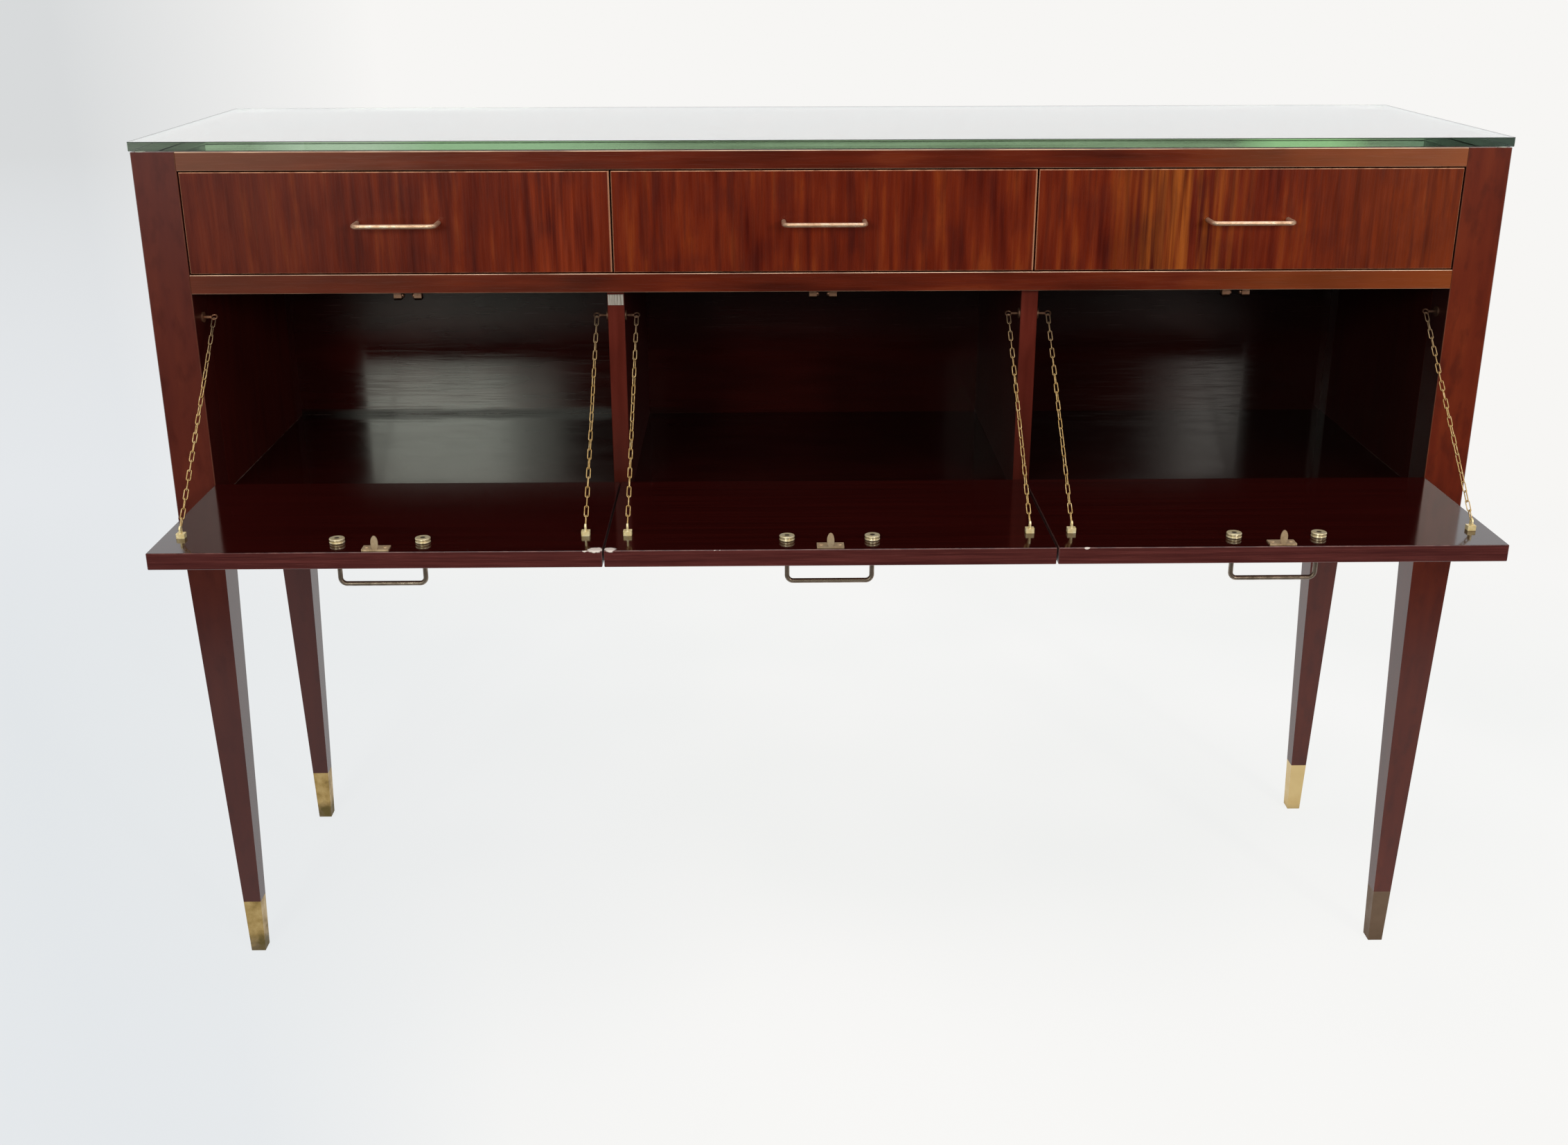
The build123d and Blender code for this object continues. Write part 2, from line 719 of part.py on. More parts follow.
# Chain eyes: a rose on the wall, a stem and a ring that faces along the chain
with BuildPart() as chain_eyes:
    for centre in bay_centres:
        for side in (-1, 1):
            wall_x, upper, lower = chain_ends(centre, side)
            along = (lower - upper).normalized()
            wall = Plane(origin=(wall_x, upper.Y, upper.Z), x_dir=(0, 1, 0), z_dir=(-side, 0, 0))
            with BuildSketch(wall):
                Circle(eye_rose_diameter / 2)
            extrude(amount=eye_rose_thickness)
            with BuildSketch(wall):
                Circle(eye_stem_diameter / 2)
            extrude(amount=eye_reach - eye_ring_diameter / 2 + eye_stem_sink)
            ring_normal = Vector(1, 0, 0).cross(along)
            with Locations(Plane(origin=upper, x_dir=(1, 0, 0), z_dir=ring_normal)):
                Torus((eye_ring_diameter - eye_ring_wire) / 2, eye_ring_wire / 2)
save(chain_eyes, "chain_eyes")


def make_link(reach):
    """One closed link, with its length between the middles of its end bars along X."""
    half_length = reach / 2
    half_width = (link_width - link_wire) / 2
    corners = [
        (0, -half_width),
        (half_length, -half_width),
        (half_length, half_width),
        (-half_length, half_width),
        (-half_length, -half_width),
    ]
    radii = [0, link_corner, link_corner, link_corner, link_corner]
    with BuildPart() as link:
        with BuildLine() as loop:
            FilletPolyline(*corners, radius=radii, close=True)
        with BuildSketch(Plane(origin=loop.line @ 0, z_dir=loop.line % 0)):
            Circle(link_wire / 2)
        sweep()
    return link.part


def chain_places(upper, lower):
    """Length of the links of one chain and the plane of each link."""
    along = (lower - upper).normalized()
    eye_hook = (eye_ring_diameter / 2 - eye_ring_wire) - link_wire / 2 - link_gap
    start = upper + along * eye_hook
    span = (lower - start).length
    count = max(2, round(span / link_pitch))
    step = link_wire + link_gap
    reach = (span + (count - 1) * step) / count
    side_turn = link_turn if count % 2 else 2 * link_turn
    roll = link_turn + side_turn / (count - 1)
    first_normal = Plane(origin=start, x_dir=along, z_dir=(1, 0, 0))
    places = []
    for index in range(count):
        middle = start + along * (reach / 2 + index * (reach - step))
        normal = first_normal.z_dir.rotate(Axis((0, 0, 0), along), index * roll)
        places.append(Plane(origin=middle, x_dir=along, z_dir=normal))
    return reach, places


for name, centre in zip(bay_names, bay_centres):
    with BuildPart() as chains:
        for side in (-1, 1):
            wall_x, upper, lower = chain_ends(centre, side)
            reach, places = chain_places(upper, lower)
            with Locations(*places):
                add(make_link(reach))
    save(chains, f"flap_{name}_chains")
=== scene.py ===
import math
from collections import namedtuple

import bmesh
import bpy
from mathutils import Matrix, Vector


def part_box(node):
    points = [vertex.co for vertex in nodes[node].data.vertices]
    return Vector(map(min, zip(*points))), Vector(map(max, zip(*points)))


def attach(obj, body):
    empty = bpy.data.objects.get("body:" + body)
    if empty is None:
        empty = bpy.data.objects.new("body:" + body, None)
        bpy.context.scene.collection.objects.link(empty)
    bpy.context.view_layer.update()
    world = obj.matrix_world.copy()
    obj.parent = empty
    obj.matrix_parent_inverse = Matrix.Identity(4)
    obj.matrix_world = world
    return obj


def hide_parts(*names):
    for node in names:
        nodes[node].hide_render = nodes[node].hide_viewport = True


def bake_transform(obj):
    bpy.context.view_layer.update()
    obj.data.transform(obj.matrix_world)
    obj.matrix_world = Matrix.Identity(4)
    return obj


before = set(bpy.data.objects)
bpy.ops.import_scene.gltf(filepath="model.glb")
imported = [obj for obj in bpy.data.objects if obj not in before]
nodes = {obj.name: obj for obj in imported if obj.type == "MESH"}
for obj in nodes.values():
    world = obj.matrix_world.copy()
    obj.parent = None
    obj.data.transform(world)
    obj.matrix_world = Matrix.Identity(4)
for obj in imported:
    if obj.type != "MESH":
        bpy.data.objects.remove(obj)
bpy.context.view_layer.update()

# Looks of the mahogany sideboard: French-polished wood, aged brass, float glass and soft daylight.

MM = 0.001
X, Y, Z = 0, 1, 2
BAYS = ("left", "centre", "right")
scene = bpy.context.scene

# Places on the finished piece that the patterns and the small parts hang on, in metres
SHELF_TONGUE = 8 * MM
EYE_SETBACK, EYE_DROP, EYE_REACH = 27 * MM, 31 * MM, 13 * MM

FRONT_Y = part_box("top_front_rail")[0].y
BACK_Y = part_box("back_panel")[0].y
FLOOR_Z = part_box("bottom_panel")[1].z
SHELF_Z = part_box("drawer_shelf")[0].z
INNER_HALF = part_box("drawer_shelf")[1].x - SHELF_TONGUE
FLAP_LOW, FLAP_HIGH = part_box("flap_centre_panel")
DIVIDER_LOW, DIVIDER_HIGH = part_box("divider_left")
GLASS_LOW, GLASS_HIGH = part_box("glass_top")
EYE_Y, EYE_Z = FRONT_Y + EYE_SETBACK, SHELF_Z - EYE_DROP


# Camera, set where the photograph was taken from

CAMERA_PLACE = Vector((-0.0696, -1.95072, 1.21565))
CAMERA_PITCH, CAMERA_YAW, CAMERA_ROLL = 0.355, -0.0132, -0.002
FOCAL_MM, SENSOR_MM = 38.626, 36

ahead = Vector((
    -math.sin(CAMERA_YAW) * math.cos(CAMERA_PITCH),
    math.cos(CAMERA_YAW) * math.cos(CAMERA_PITCH),
    -math.sin(CAMERA_PITCH),
))
level = Vector((math.cos(CAMERA_YAW), math.sin(CAMERA_YAW), 0))
raised = level.cross(ahead)
rightward = level * math.cos(CAMERA_ROLL) + raised * math.sin(CAMERA_ROLL)
upward = raised * math.cos(CAMERA_ROLL) - level * math.sin(CAMERA_ROLL)
camera = bpy.data.objects.new("camera", bpy.data.cameras.new("camera"))
scene.collection.objects.link(camera)
camera.data.sensor_width = SENSOR_MM
camera.data.lens = FOCAL_MM
turn = Matrix((rightward, upward, -ahead)).transposed()
camera.matrix_world = Matrix.Translation(CAMERA_PLACE) @ turn.to_4x4()
scene.camera = camera
scene.view_settings.view_transform = "Standard"


# Small helpers for materials


def srgb(code):
    """Linear colour of an sRGB hex value."""
    parts = [int(code[i:i + 2], 16) / 255 for i in (1, 3, 5)]
    linear = [p / 12.92 if p <= 0.04045 else ((p + 0.055) / 1.055) ** 2.4 for p in parts]
    return (*linear, 1.0)


def fill(tree, node, inputs):
    """Sets inputs of a node, each to a value, an sRGB colour or a link.

    A link comes from a socket, or from the first output in use of another node.
    """
    for key, value in inputs.items():
        if isinstance(value, bpy.types.Node):
            value = next(socket for socket in value.outputs if socket.enabled)
        if isinstance(value, bpy.types.NodeSocket):
            tree.links.new(value, node.inputs[key])
        else:
            node.inputs[key].default_value = srgb(value) if isinstance(value, str) else value


def add(tree, kind, inputs=None, stops=None, **settings):
    """Adds one shader node with its settings, its inputs and the stops of its colour ramp."""
    made = tree.nodes.new("ShaderNode" + kind)
    for name, value in settings.items():
        setattr(made, name, value)
    fill(tree, made, inputs or {})
    if stops:
        elements = made.color_ramp.elements
        elements.remove(elements[1])
        elements[0].position, elements[0].color = stops[0][0], srgb(stops[0][1])
        for place, code in stops[1:]:
            elements.new(place).color = srgb(code)
    return made


def start_material(name):
    """A new material with its tree, its surface shader and its coordinates."""
    material = bpy.data.materials.new(name)
    material.use_nodes = True
    tree = material.node_tree
    return material, tree, tree.nodes["Principled BSDF"], add(tree, "TexCoord")


def even_stops(tones, low, high):
    """Tones spread evenly over a ramp between two places."""
    return [(low + (high - low) * i / (len(tones) - 1), tone) for i, tone in enumerate(tones)]


def grain(tree, place, across, along, axis, detail=2.0):
    """Figure drawn out along one axis; across and along are its sizes in millimetres."""
    size = [across, across, across]
    size[axis] = along
    scaled = add(tree, "Mapping", {"Vector": place, "Scale": [1 / (s * MM) for s in size]})
    return add(tree, "TexNoise", {
        "Vector": scaled, "Scale": 1.0, "Detail": detail, "Roughness": 0.55})


def soft_spot(tree, place, centre, radii, core=0.0):
    """1 within the core share of the radii around a centre and 0 outside them, in metres."""
    local = add(tree, "Mapping", {
        "Vector": place,
        "Location": [-c / r for c, r in zip(centre, radii)],
        "Scale": [1 / r for r in radii]})
    reach = add(tree, "VectorMath", {0: local}, operation="LENGTH")
    return add(tree, "MapRange", {"Value": reach, "From Min": 1.0, "From Max": core})


def tinted(tree, colour, tone, value, low=0.0, high=1.0, share=1.0):
    """Colour turned to a tone, up to a share of it, as a value runs from low to high."""
    amount = add(tree, "MapRange", {"Value": value, "From Min": low, "From Max": high, "To Max": share})
    return add(tree, "Mix", {"Factor": amount, "A": colour, "B": tone}, data_type="RGBA")


def weighted(tree, *pairs):
    """Sum of several values, each times its weight."""
    total = 0.0
    for value, weight in pairs:
        total = add(tree, "Math", {0: value, 1: weight, 2: total}, operation="MULTIPLY_ADD")
    return total


def arris_mask(tree, coords):
    """1 on the small bevelled edges, which lie askew to the axes, and less where they look down, as
    edges that face up are taken to be more rubbed and get more painted highlight.
    """
    normal = coords.outputs["Normal"]
    size = add(tree, "VectorMath", {0: normal}, operation="ABSOLUTE")
    parts = add(tree, "SeparateXYZ", {0: size}).outputs
    flat = add(tree, "Math", {0: parts[X], 1: parts[Y]}, operation="MAXIMUM")
    flat = add(tree, "Math", {0: flat, 1: parts[Z]}, operation="MAXIMUM")
    askew = add(tree, "MapRange", {"Value": flat, "From Min": 0.93, "From Max": 0.8})
    rise = add(tree, "SeparateXYZ", {0: normal}).outputs[Z]
    # Edges facing up are paler: partly rubbed more, partly a painted highlight from the light above
    rubbed = add(tree, "MapRange", {
        "Value": rise, "From Min": -0.4, "From Max": 0.5, "To Min": 0.4, "To Max": 1.0})
    return add(tree, "Math", {0: askew, 1: rubbed}, operation="MULTIPLY")


def beyond(axis, low, high, both_ways=False):
    """Mask that rises from 0 to 1 between two places along an axis."""
    def mask(tree, place):
        if both_ways:
            place = add(tree, "VectorMath", {0: place}, operation="ABSOLUTE")
        along = add(tree, "SeparateXYZ", {0: place}).outputs[axis]
        return add(tree, "MapRange", {"Value": along, "From Min": low, "From Max": high})
    return mask


# Wood

# Mahogany is an open-pored red-brown wood; French polish fills it and gives a deep gloss. Its grain
# shows as long fibres, short dark pores and, where it is cut on the quarter, ribbons of light and
# dark. Sizes are in millimetres. Fibres and pores are drawn coarser than they grow, so that they show.
WOOD_IOR = 1.5
FIBRE_WIDTH, FIBRE_LENGTH = 1.3, 38
PORE_WIDTH, PORE_LENGTH = 0.8, 9
RIBBON_LENGTH, BROAD_LENGTH, BROAD_RIBBONS = 120, 110, 6
RUBBED_WIDTH, RUBBED_LENGTH = 9, 60
SCUFF_WIDTH, SCUFF_LENGTH = 1.6, 60
# The tones of a figure are spread between these two of its values.
FIGURE_LOW, FIGURE_HIGH = 0.36, 0.64

POST_TONES = ("#491507", "#591c0a", "#62220c", "#6e2a10")
RAIL_TONES = ("#401004", "#501706", "#5a1b08", "#68250d")
FRONT_TONES = ("#450d04", "#581605", "#621c07", "#6d2309", "#7a2f0c")
DIVIDER_TONES = ("#4d170d", "#5c2016", "#68281d")
DRAWER_SIDE_TONES = ("#6b4127", "#7d5031", "#8c5c3a")
DARK_LOW, DARK_HIGH = "#330a07", "#3f100b"
DEEP_SHADOW = "#0c0302"
# Pale arris tones: rubbed polish and a painted highlight; the veneer tone also paints drawer-end
# highlights
RUBBED_AND_LIT_EDGE = "#b98a6c"
PALE_VENEER_EDGE = "#c08b6b"

# Faces stained nearly black: where they are, their dark and light tone, how rough they are, and a
# function that adds a painted line, of shade on the back and of highlight on the floor, and duller polish
Stain = namedtuple("Stain", "mask low high rough wear", defaults=(0.11, None))


def mahogany(name, axis, tones, stripe, rough, pale_edge_tone, extra=None, rubbed=1.0, shine=0.3, stain=None):
    """Polished mahogany with its grain along an axis.

    tones run from the dark to the light of the figure and stripe is the width of its ribbons in
    millimetres. extra is called with the tree, the place and the colour to add what one board alone
    shows. rubbed is how far the edges turn to pale_edge_tone, partly where the polish is rubbed off
    them and partly as a painted highlight, and shine is how strongly the polish mirrors.
    """
    material, tree, surface, coords = start_material(name)
    place = coords.outputs["Object"]
    broad = grain(tree, place, stripe * BROAD_RIBBONS, BROAD_LENGTH, axis, 2.0)
    ribbon = grain(tree, place, stripe, RIBBON_LENGTH, axis, 1.5)
    fibre = grain(tree, place, FIBRE_WIDTH, FIBRE_LENGTH, axis, 3.0)
    pore = grain(tree, place, PORE_WIDTH, PORE_LENGTH, axis, 1.0)
    figure = weighted(tree, (ribbon, 0.5), (broad, 0.43), (fibre, 0.07))
    colour = add(tree, "ValToRGB", {0: figure}, stops=even_stops(tones, FIGURE_LOW, FIGURE_HIGH))
    colour = tinted(tree, colour, tones[0], pore, 0.40, 0.30, 0.22)
    if extra:
        colour = extra(tree, place, colour)
    # Pale arrises: partly polish rubbed off the edges, partly a painted highlight on them
    patchy = grain(tree, place, RUBBED_WIDTH, RUBBED_LENGTH, axis, 2.0)
    rubbed_and_lit_edge = add(tree, "MapRange", {
        "Value": patchy, "From Min": 0.35, "From Max": 0.6, "To Min": 0.4 * rubbed, "To Max": rubbed})
    rubbed_and_lit_edge = add(tree, "Math", {0: arris_mask(tree, coords), 1: rubbed_and_lit_edge}, operation="MULTIPLY")
    colour = tinted(tree, colour, pale_edge_tone, rubbed_and_lit_edge)
    if stain:
        deep = tinted(tree, stain.low, stain.high, figure, 0.38, 0.62)
        # Painted shade: the stained faces are darkened towards the right.
        sideways = add(tree, "SeparateXYZ", {0: place}).outputs[X]
        deep = tinted(tree, deep, DEEP_SHADOW, sideways, -0.35, 0.6, 0.62)
        scuff = grain(tree, place, SCUFF_WIDTH, SCUFF_LENGTH, X, 4.0)
        dull = add(tree, "MapRange", {
            "Value": scuff, "From Min": 0.46, "From Max": 0.72,
            "To Min": stain.rough, "To Max": stain.rough + 0.08})
        if stain.wear:
            deep, dull = stain.wear(tree, place, deep, dull)
        inside = stain.mask(tree, place)
        colour = tinted(tree, colour, deep, inside)
        roughness = add(tree, "Mix", {"Factor": inside, "A": rough, "B": dull})
    else:
        roughness = add(tree, "MapRange", {
            "Value": fibre, "From Min": 0.3, "From Max": 0.7,
            "To Min": rough - 0.04, "To Max": rough + 0.06})
    bump = add(tree, "Bump", {
        "Height": weighted(tree, (fibre, 0.5), (pore, 0.5)), "Strength": 0.14, "Distance": 0.12 * MM})
    fill(tree, surface, {
        "Base Color": colour, "Roughness": roughness, "Normal": bump,
        "IOR": WOOD_IOR, "Specular IOR Level": shine})
    return material


def warm_right(tree, place, colour):
    """The rails are more orange at their right end and greyer at their left, and the top one is dusty."""
    along, _, height = add(tree, "SeparateXYZ", {0: place}).outputs
    drift = grain(tree, place, 90, 90, X, 2.0)
    warm = weighted(tree, (along, 1.0), (drift, 0.35))
    colour = tinted(tree, colour, "#60301f", warm, 0.0, -0.5, 0.6)
    colour = tinted(tree, colour, "#93491d", warm, 0.5, 1.0, 0.75)
    outward = add(tree, "Math", {0: along}, operation="ABSOLUTE")
    near_end = add(tree, "MapRange", {
        "Value": outward, "From Min": 0.4, "From Max": 0.68, "To Max": 0.09})
    on_top_rail = add(tree, "MapRange", {"Value": height, "From Min": 0.9, "From Max": 0.95})
    dust = add(tree, "Math", {0: near_end, 1: on_top_rail}, operation="MULTIPLY")
    return tinted(tree, colour, "#c89a78", dust)


def red_right(tree, place, colour):
    """The right posts are a clearer red than the left ones, and all are darker down in the legs, where
    shade is painted on them below the flaps.
    """
    along, _, height = add(tree, "SeparateXYZ", {0: place}).outputs
    colour = tinted(tree, colour, "#4f1f17", along, 0.0, -0.7, 0.7)
    colour = tinted(tree, colour, "#6c220b", along, 0.0, 0.7, 0.35)
    mottle = grain(tree, place, 14, 34, Z, 3.0)
    colour = tinted(tree, colour, "#3a0f08", mottle, 0.5, 0.68, 0.4)
    # Painted shade: the legs below the flaps are darkened.
    return tinted(tree, colour, "#35100a", height, 0.62, 0.5, 0.5)


# Bands of the drawer fronts: where they lie along X and how far they reach, and their middle height
GOLD_X, GOLD_REACH = 0.392, 0.085
RED_X, RED_REACH = -0.29, 0.075
# The pale bands are painted highlights at the right ends of two drawer fronts.
PALE_INSET, PALE_REACH = 0.6 * MM, 1.5 * MM
DRAWER_Z = 0.93


def banded(tree, place, colour, tone, lines, centre, reach, core):
    """Colour turned to a tone along fine lines in an upright band of the drawer fronts."""
    band = soft_spot(tree, place, (centre, FRONT_Y, DRAWER_Z), (reach, 1, 1), core)
    band = add(tree, "Math", {0: band, 1: lines}, operation="MULTIPLY")
    return tinted(tree, colour, tone, band)


def golden_ribbons(tree, place, colour):
    """Golden ribbons at the right drawer, warm red ones at the left, which is brown at its far end.

    Dark streaks and clouds run through all three, and two drawers have a painted highlight, a pale band,
    at their right ends.
    """
    along = add(tree, "SeparateXYZ", {0: place}).outputs[X]
    colour = tinted(tree, colour, "#4e261c", along, -0.28, -0.62, 0.45)
    colour = tinted(tree, colour, "#7e3714", along, 0.5, 0.66, 0.4)
    fine = grain(tree, place, 6.5, 240, Z, 2.0)
    gold = add(tree, "MapRange", {"Value": fine, "From Min": 0.38, "From Max": 0.62})
    colour = banded(tree, place, colour, "#944a15", gold, GOLD_X, GOLD_REACH, 0.1)
    red = add(tree, "MapRange", {"Value": fine, "From Min": 0.42, "From Max": 0.6, "To Max": 0.6})
    colour = banded(tree, place, colour, "#8a3314", red, RED_X, RED_REACH, 0.1)
    streak = grain(tree, place, 8, 110, Z, 2.5)
    colour = tinted(tree, colour, "#3d110b", streak, 0.5, 0.66, 0.42)
    cloud = grain(tree, place, 34, 46, Z, 3.0)
    colour = tinted(tree, colour, "#401410", cloud, 0.52, 0.7, 0.3)
    # Painted highlights: pale bands at the right ends of the left and centre drawers
    pale = add(tree, "MapRange", {
        "Value": fine, "From Min": 0.3, "From Max": 0.6, "To Min": 0.4, "To Max": 0.8})
    for bay in BAYS[:2]:
        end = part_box(f"drawer_{bay}_front")[1].x
        colour = banded(tree, place, colour, PALE_VENEER_EDGE, pale, end - PALE_INSET, PALE_REACH, 0.4)
    return colour


# Where the dark stain of the inner faces lies: only this deep in the skin of a board
STAIN_FROM, STAIN_FULL = 0.6 * MM, 0.2 * MM
between_walls = beyond(X, INNER_HALF + STAIN_FROM, INNER_HALF + STAIN_FULL, True)
on_back = beyond(Y, BACK_Y + STAIN_FROM, BACK_Y + STAIN_FULL)
on_floor = beyond(Z, FLOOR_Z - STAIN_FROM, FLOOR_Z - STAIN_FULL)
under_shelf = beyond(Z, SHELF_Z + STAIN_FROM, SHELF_Z + STAIN_FULL)
behind_edge = beyond(Y, DIVIDER_LOW.y + 0.6 * MM, DIVIDER_LOW.y + 1.4 * MM)
# The painted shade along the foot of the back and the painted highlight along its joint with the floor
# lie in the left bay and fade out between these places along X.
LEFT_BAY_END, LEFT_BAY_FADE = -0.12, -0.3


def post_inside(tree, place):
    """Inner faces of the posts, where they line the compartments."""
    above_floor = beyond(Z, FLOOR_Z - 1 * MM, FLOOR_Z)(tree, place)
    return add(tree, "Math", {0: between_walls(tree, place), 1: above_floor}, operation="MULTIPLY")


def back_shade_and_dull_polish(tree, place, colour, rough):
    """Painted shade: a dark, dull line along the left foot of the back panel, where it meets the floor,
    and less polish higher up.
    """
    sideways, _, height = add(tree, "SeparateXYZ", {0: place}).outputs
    line = add(tree, "MapRange", {
        "Value": height, "From Min": FLOOR_Z + 9 * MM, "From Max": FLOOR_Z + 4 * MM, "To Max": 0.85})
    in_left_bay = add(tree, "MapRange", {
        "Value": sideways, "From Min": LEFT_BAY_END, "From Max": LEFT_BAY_FADE})
    line = add(tree, "Math", {0: line, 1: in_left_bay}, operation="MULTIPLY")
    upper = add(tree, "MapRange", {
        "Value": height, "From Min": FLOOR_Z + 90 * MM, "From Max": FLOOR_Z + 120 * MM})
    colour = tinted(tree, colour, "#120806", line)
    return colour, weighted(tree, (rough, 1.0), (line, 0.14), (upper, 0.12))


def joint_highlight(tree, place, colour, rough):
    """Painted highlight: a pale, duller hairline where the floor meets the sides and, in the left bay,
    the back.
    """
    sideways, depth, _ = add(tree, "SeparateXYZ", {0: place}).outputs
    ends = beyond(X, INNER_HALF - 1.2 * MM, INNER_HALF - 0.8 * MM, True)(tree, place)
    stronger_left = add(tree, "MapRange", {
        "Value": sideways, "From Min": -0.3, "From Max": 0.3, "To Min": 0.8, "To Max": 0.3})
    ends = add(tree, "Math", {0: ends, 1: stronger_left}, operation="MULTIPLY")
    rear = add(tree, "MapRange", {
        "Value": depth, "From Min": BACK_Y - 1.8 * MM, "From Max": BACK_Y - 1.2 * MM})
    in_left_bay = add(tree, "MapRange", {
        "Value": sideways, "From Min": LEFT_BAY_END, "From Max": LEFT_BAY_FADE})
    rear = add(tree, "Math", {0: rear, 1: in_left_bay}, operation="MULTIPLY")
    line = add(tree, "Math", {0: ends, 1: rear}, operation="MAXIMUM")
    broken = add(tree, "MapRange", {
        "Value": grain(tree, place, 30, 30, Z, 3.0), "From Min": 0.34, "From Max": 0.6})
    line = add(tree, "Math", {0: line, 1: broken}, operation="MULTIPLY")
    return tinted(tree, colour, "#8d7b70", line), weighted(tree, (rough, 1.0), (line, 0.3))


def darker_below(tree, place, colour):
    """The front edges of the dividers darken towards the floor of the compartments."""
    height = add(tree, "SeparateXYZ", {0: place}).outputs[Z]
    return tinted(tree, colour, "#2c0d09", height, FLOOR_Z + 190 * MM, FLOOR_Z, 0.8)


# Posts and legs: upright grain under a clear gloss, and dark where they line the compartments
post_wood = mahogany(
    "french_polished_mahogany_upright", Z, POST_TONES, 13, 0.24, RUBBED_AND_LIT_EDGE, red_right,
    rubbed=0.25, shine=0.42, stain=Stain(post_inside, "#360c08", "#40110c", 0.3))
# Rails: grain along the front, with pale edges, partly rubbed and partly a painted highlight
rail_wood = mahogany(
    "french_polished_mahogany_rails", X, RAIL_TONES, 12, 0.24, "#dcb69a", warm_right)
# Top panel under the glass: the red-brown of the posts, with its grain along the front
top_wood = mahogany(
    "french_polished_mahogany_top", X, POST_TONES, 14, 0.28, RUBBED_AND_LIT_EDGE, rubbed=0.2)
# Drawer fronts: veneer cut on the quarter, with upright ribbons from dark red to gold
front_wood = mahogany(
    "ribbon_mahogany_veneer", Z, FRONT_TONES, 10, 0.26, PALE_VENEER_EDGE, golden_ribbons, shine=0.2)
# Side panels: polished outside, dark and dull inside
side_wood = mahogany(
    "mahogany_sides_dark_inside", Z, POST_TONES, 14, 0.3, RUBBED_AND_LIT_EDGE, rubbed=0.2, shine=0.08,
    stain=Stain(between_walls, "#3a0d09", "#45130d", 0.5))
# Back panel: nearly black inside and polished, so that the windows show in it
back_wood = mahogany(
    "mahogany_back_dark_inside", X, POST_TONES, 18, 0.34, RUBBED_AND_LIT_EDGE, rubbed=0.2, shine=0.35,
    stain=Stain(on_back, "#270705", "#320b08", 0.09, back_shade_and_dull_polish))
# Floor of the compartments: the darkest and glossiest of the boards
bottom_wood = mahogany(
    "mahogany_floor_dark_inside", X, RAIL_TONES, 16, 0.3, RUBBED_AND_LIT_EDGE, shine=0.74,
    stain=Stain(on_floor, "#200504", "#2a0806", 0.06, joint_highlight))
# Shelf above the compartments: dark below
shelf_wood = mahogany(
    "mahogany_shelf_dark_below", X, POST_TONES, 16, 0.34, RUBBED_AND_LIT_EDGE,
    stain=Stain(under_shelf, DARK_LOW, DARK_HIGH))
# Dividers: brown front edges and dull dark sides
divider_wood = mahogany(
    "mahogany_dividers_dark_sides", Z, DIVIDER_TONES, 10, 0.3, "#5a2a20", darker_below,
    rubbed=0.3, shine=0.14, stain=Stain(behind_edge, DARK_LOW, DARK_HIGH, 0.5))
# Drawer sides, bottoms, partitions and guides: planed, pale brown and without polish
drawer_wood = mahogany(
    "planed_mahogany_drawer_sides", Y, DRAWER_SIDE_TONES, 12, 0.45, "#9a6c48")


# Chips in the front edge of the flaps: their places from the corner where the left and the centre
# flap meet, and their radii, in millimetres
FLAP_CHIPS = (
    ((-8, 4, 0), (9, 6.5, 3.6)),
    ((7, 4.5, 0), (7, 6, 3)),
    ((498, 0, 0), (3, 2, 1.6)),
    ((-18, -0.5, 0), (4, 1.6, 1.2)),
    ((118, -0.5, 0), (5, 1.2, 1.2)),
    ((-160, -0.5, 0), (6, 1.0, 1.0)),
)
CHIP_GRAIN = 4 * MM
CHIP_RAGGED = Vector((6, 6, 3)) * MM


def chip_mask(tree, place):
    """Ragged spots where knocks have chipped the polish of the flaps down to pale wood."""
    ragged = add(tree, "TexNoise", {"Vector": place, "Scale": 1 / CHIP_GRAIN, "Detail": 3.0})
    shifted = add(tree, "VectorMath", {
        0: ragged.outputs["Color"], 1: CHIP_RAGGED, 2: place}, operation="MULTIPLY_ADD")
    corner = Vector((-INNER_HALF / 3, FLAP_LOW.y, FLAP_HIGH.z))
    chips = 0.0
    for offset, radii in FLAP_CHIPS:
        centre = corner + Vector(offset) * MM + CHIP_RAGGED / 2
        one = soft_spot(tree, shifted, centre, [r * MM for r in radii], 0.75)
        chips = add(tree, "Math", {0: one, 1: chips}, operation="MAXIMUM")
    return chips


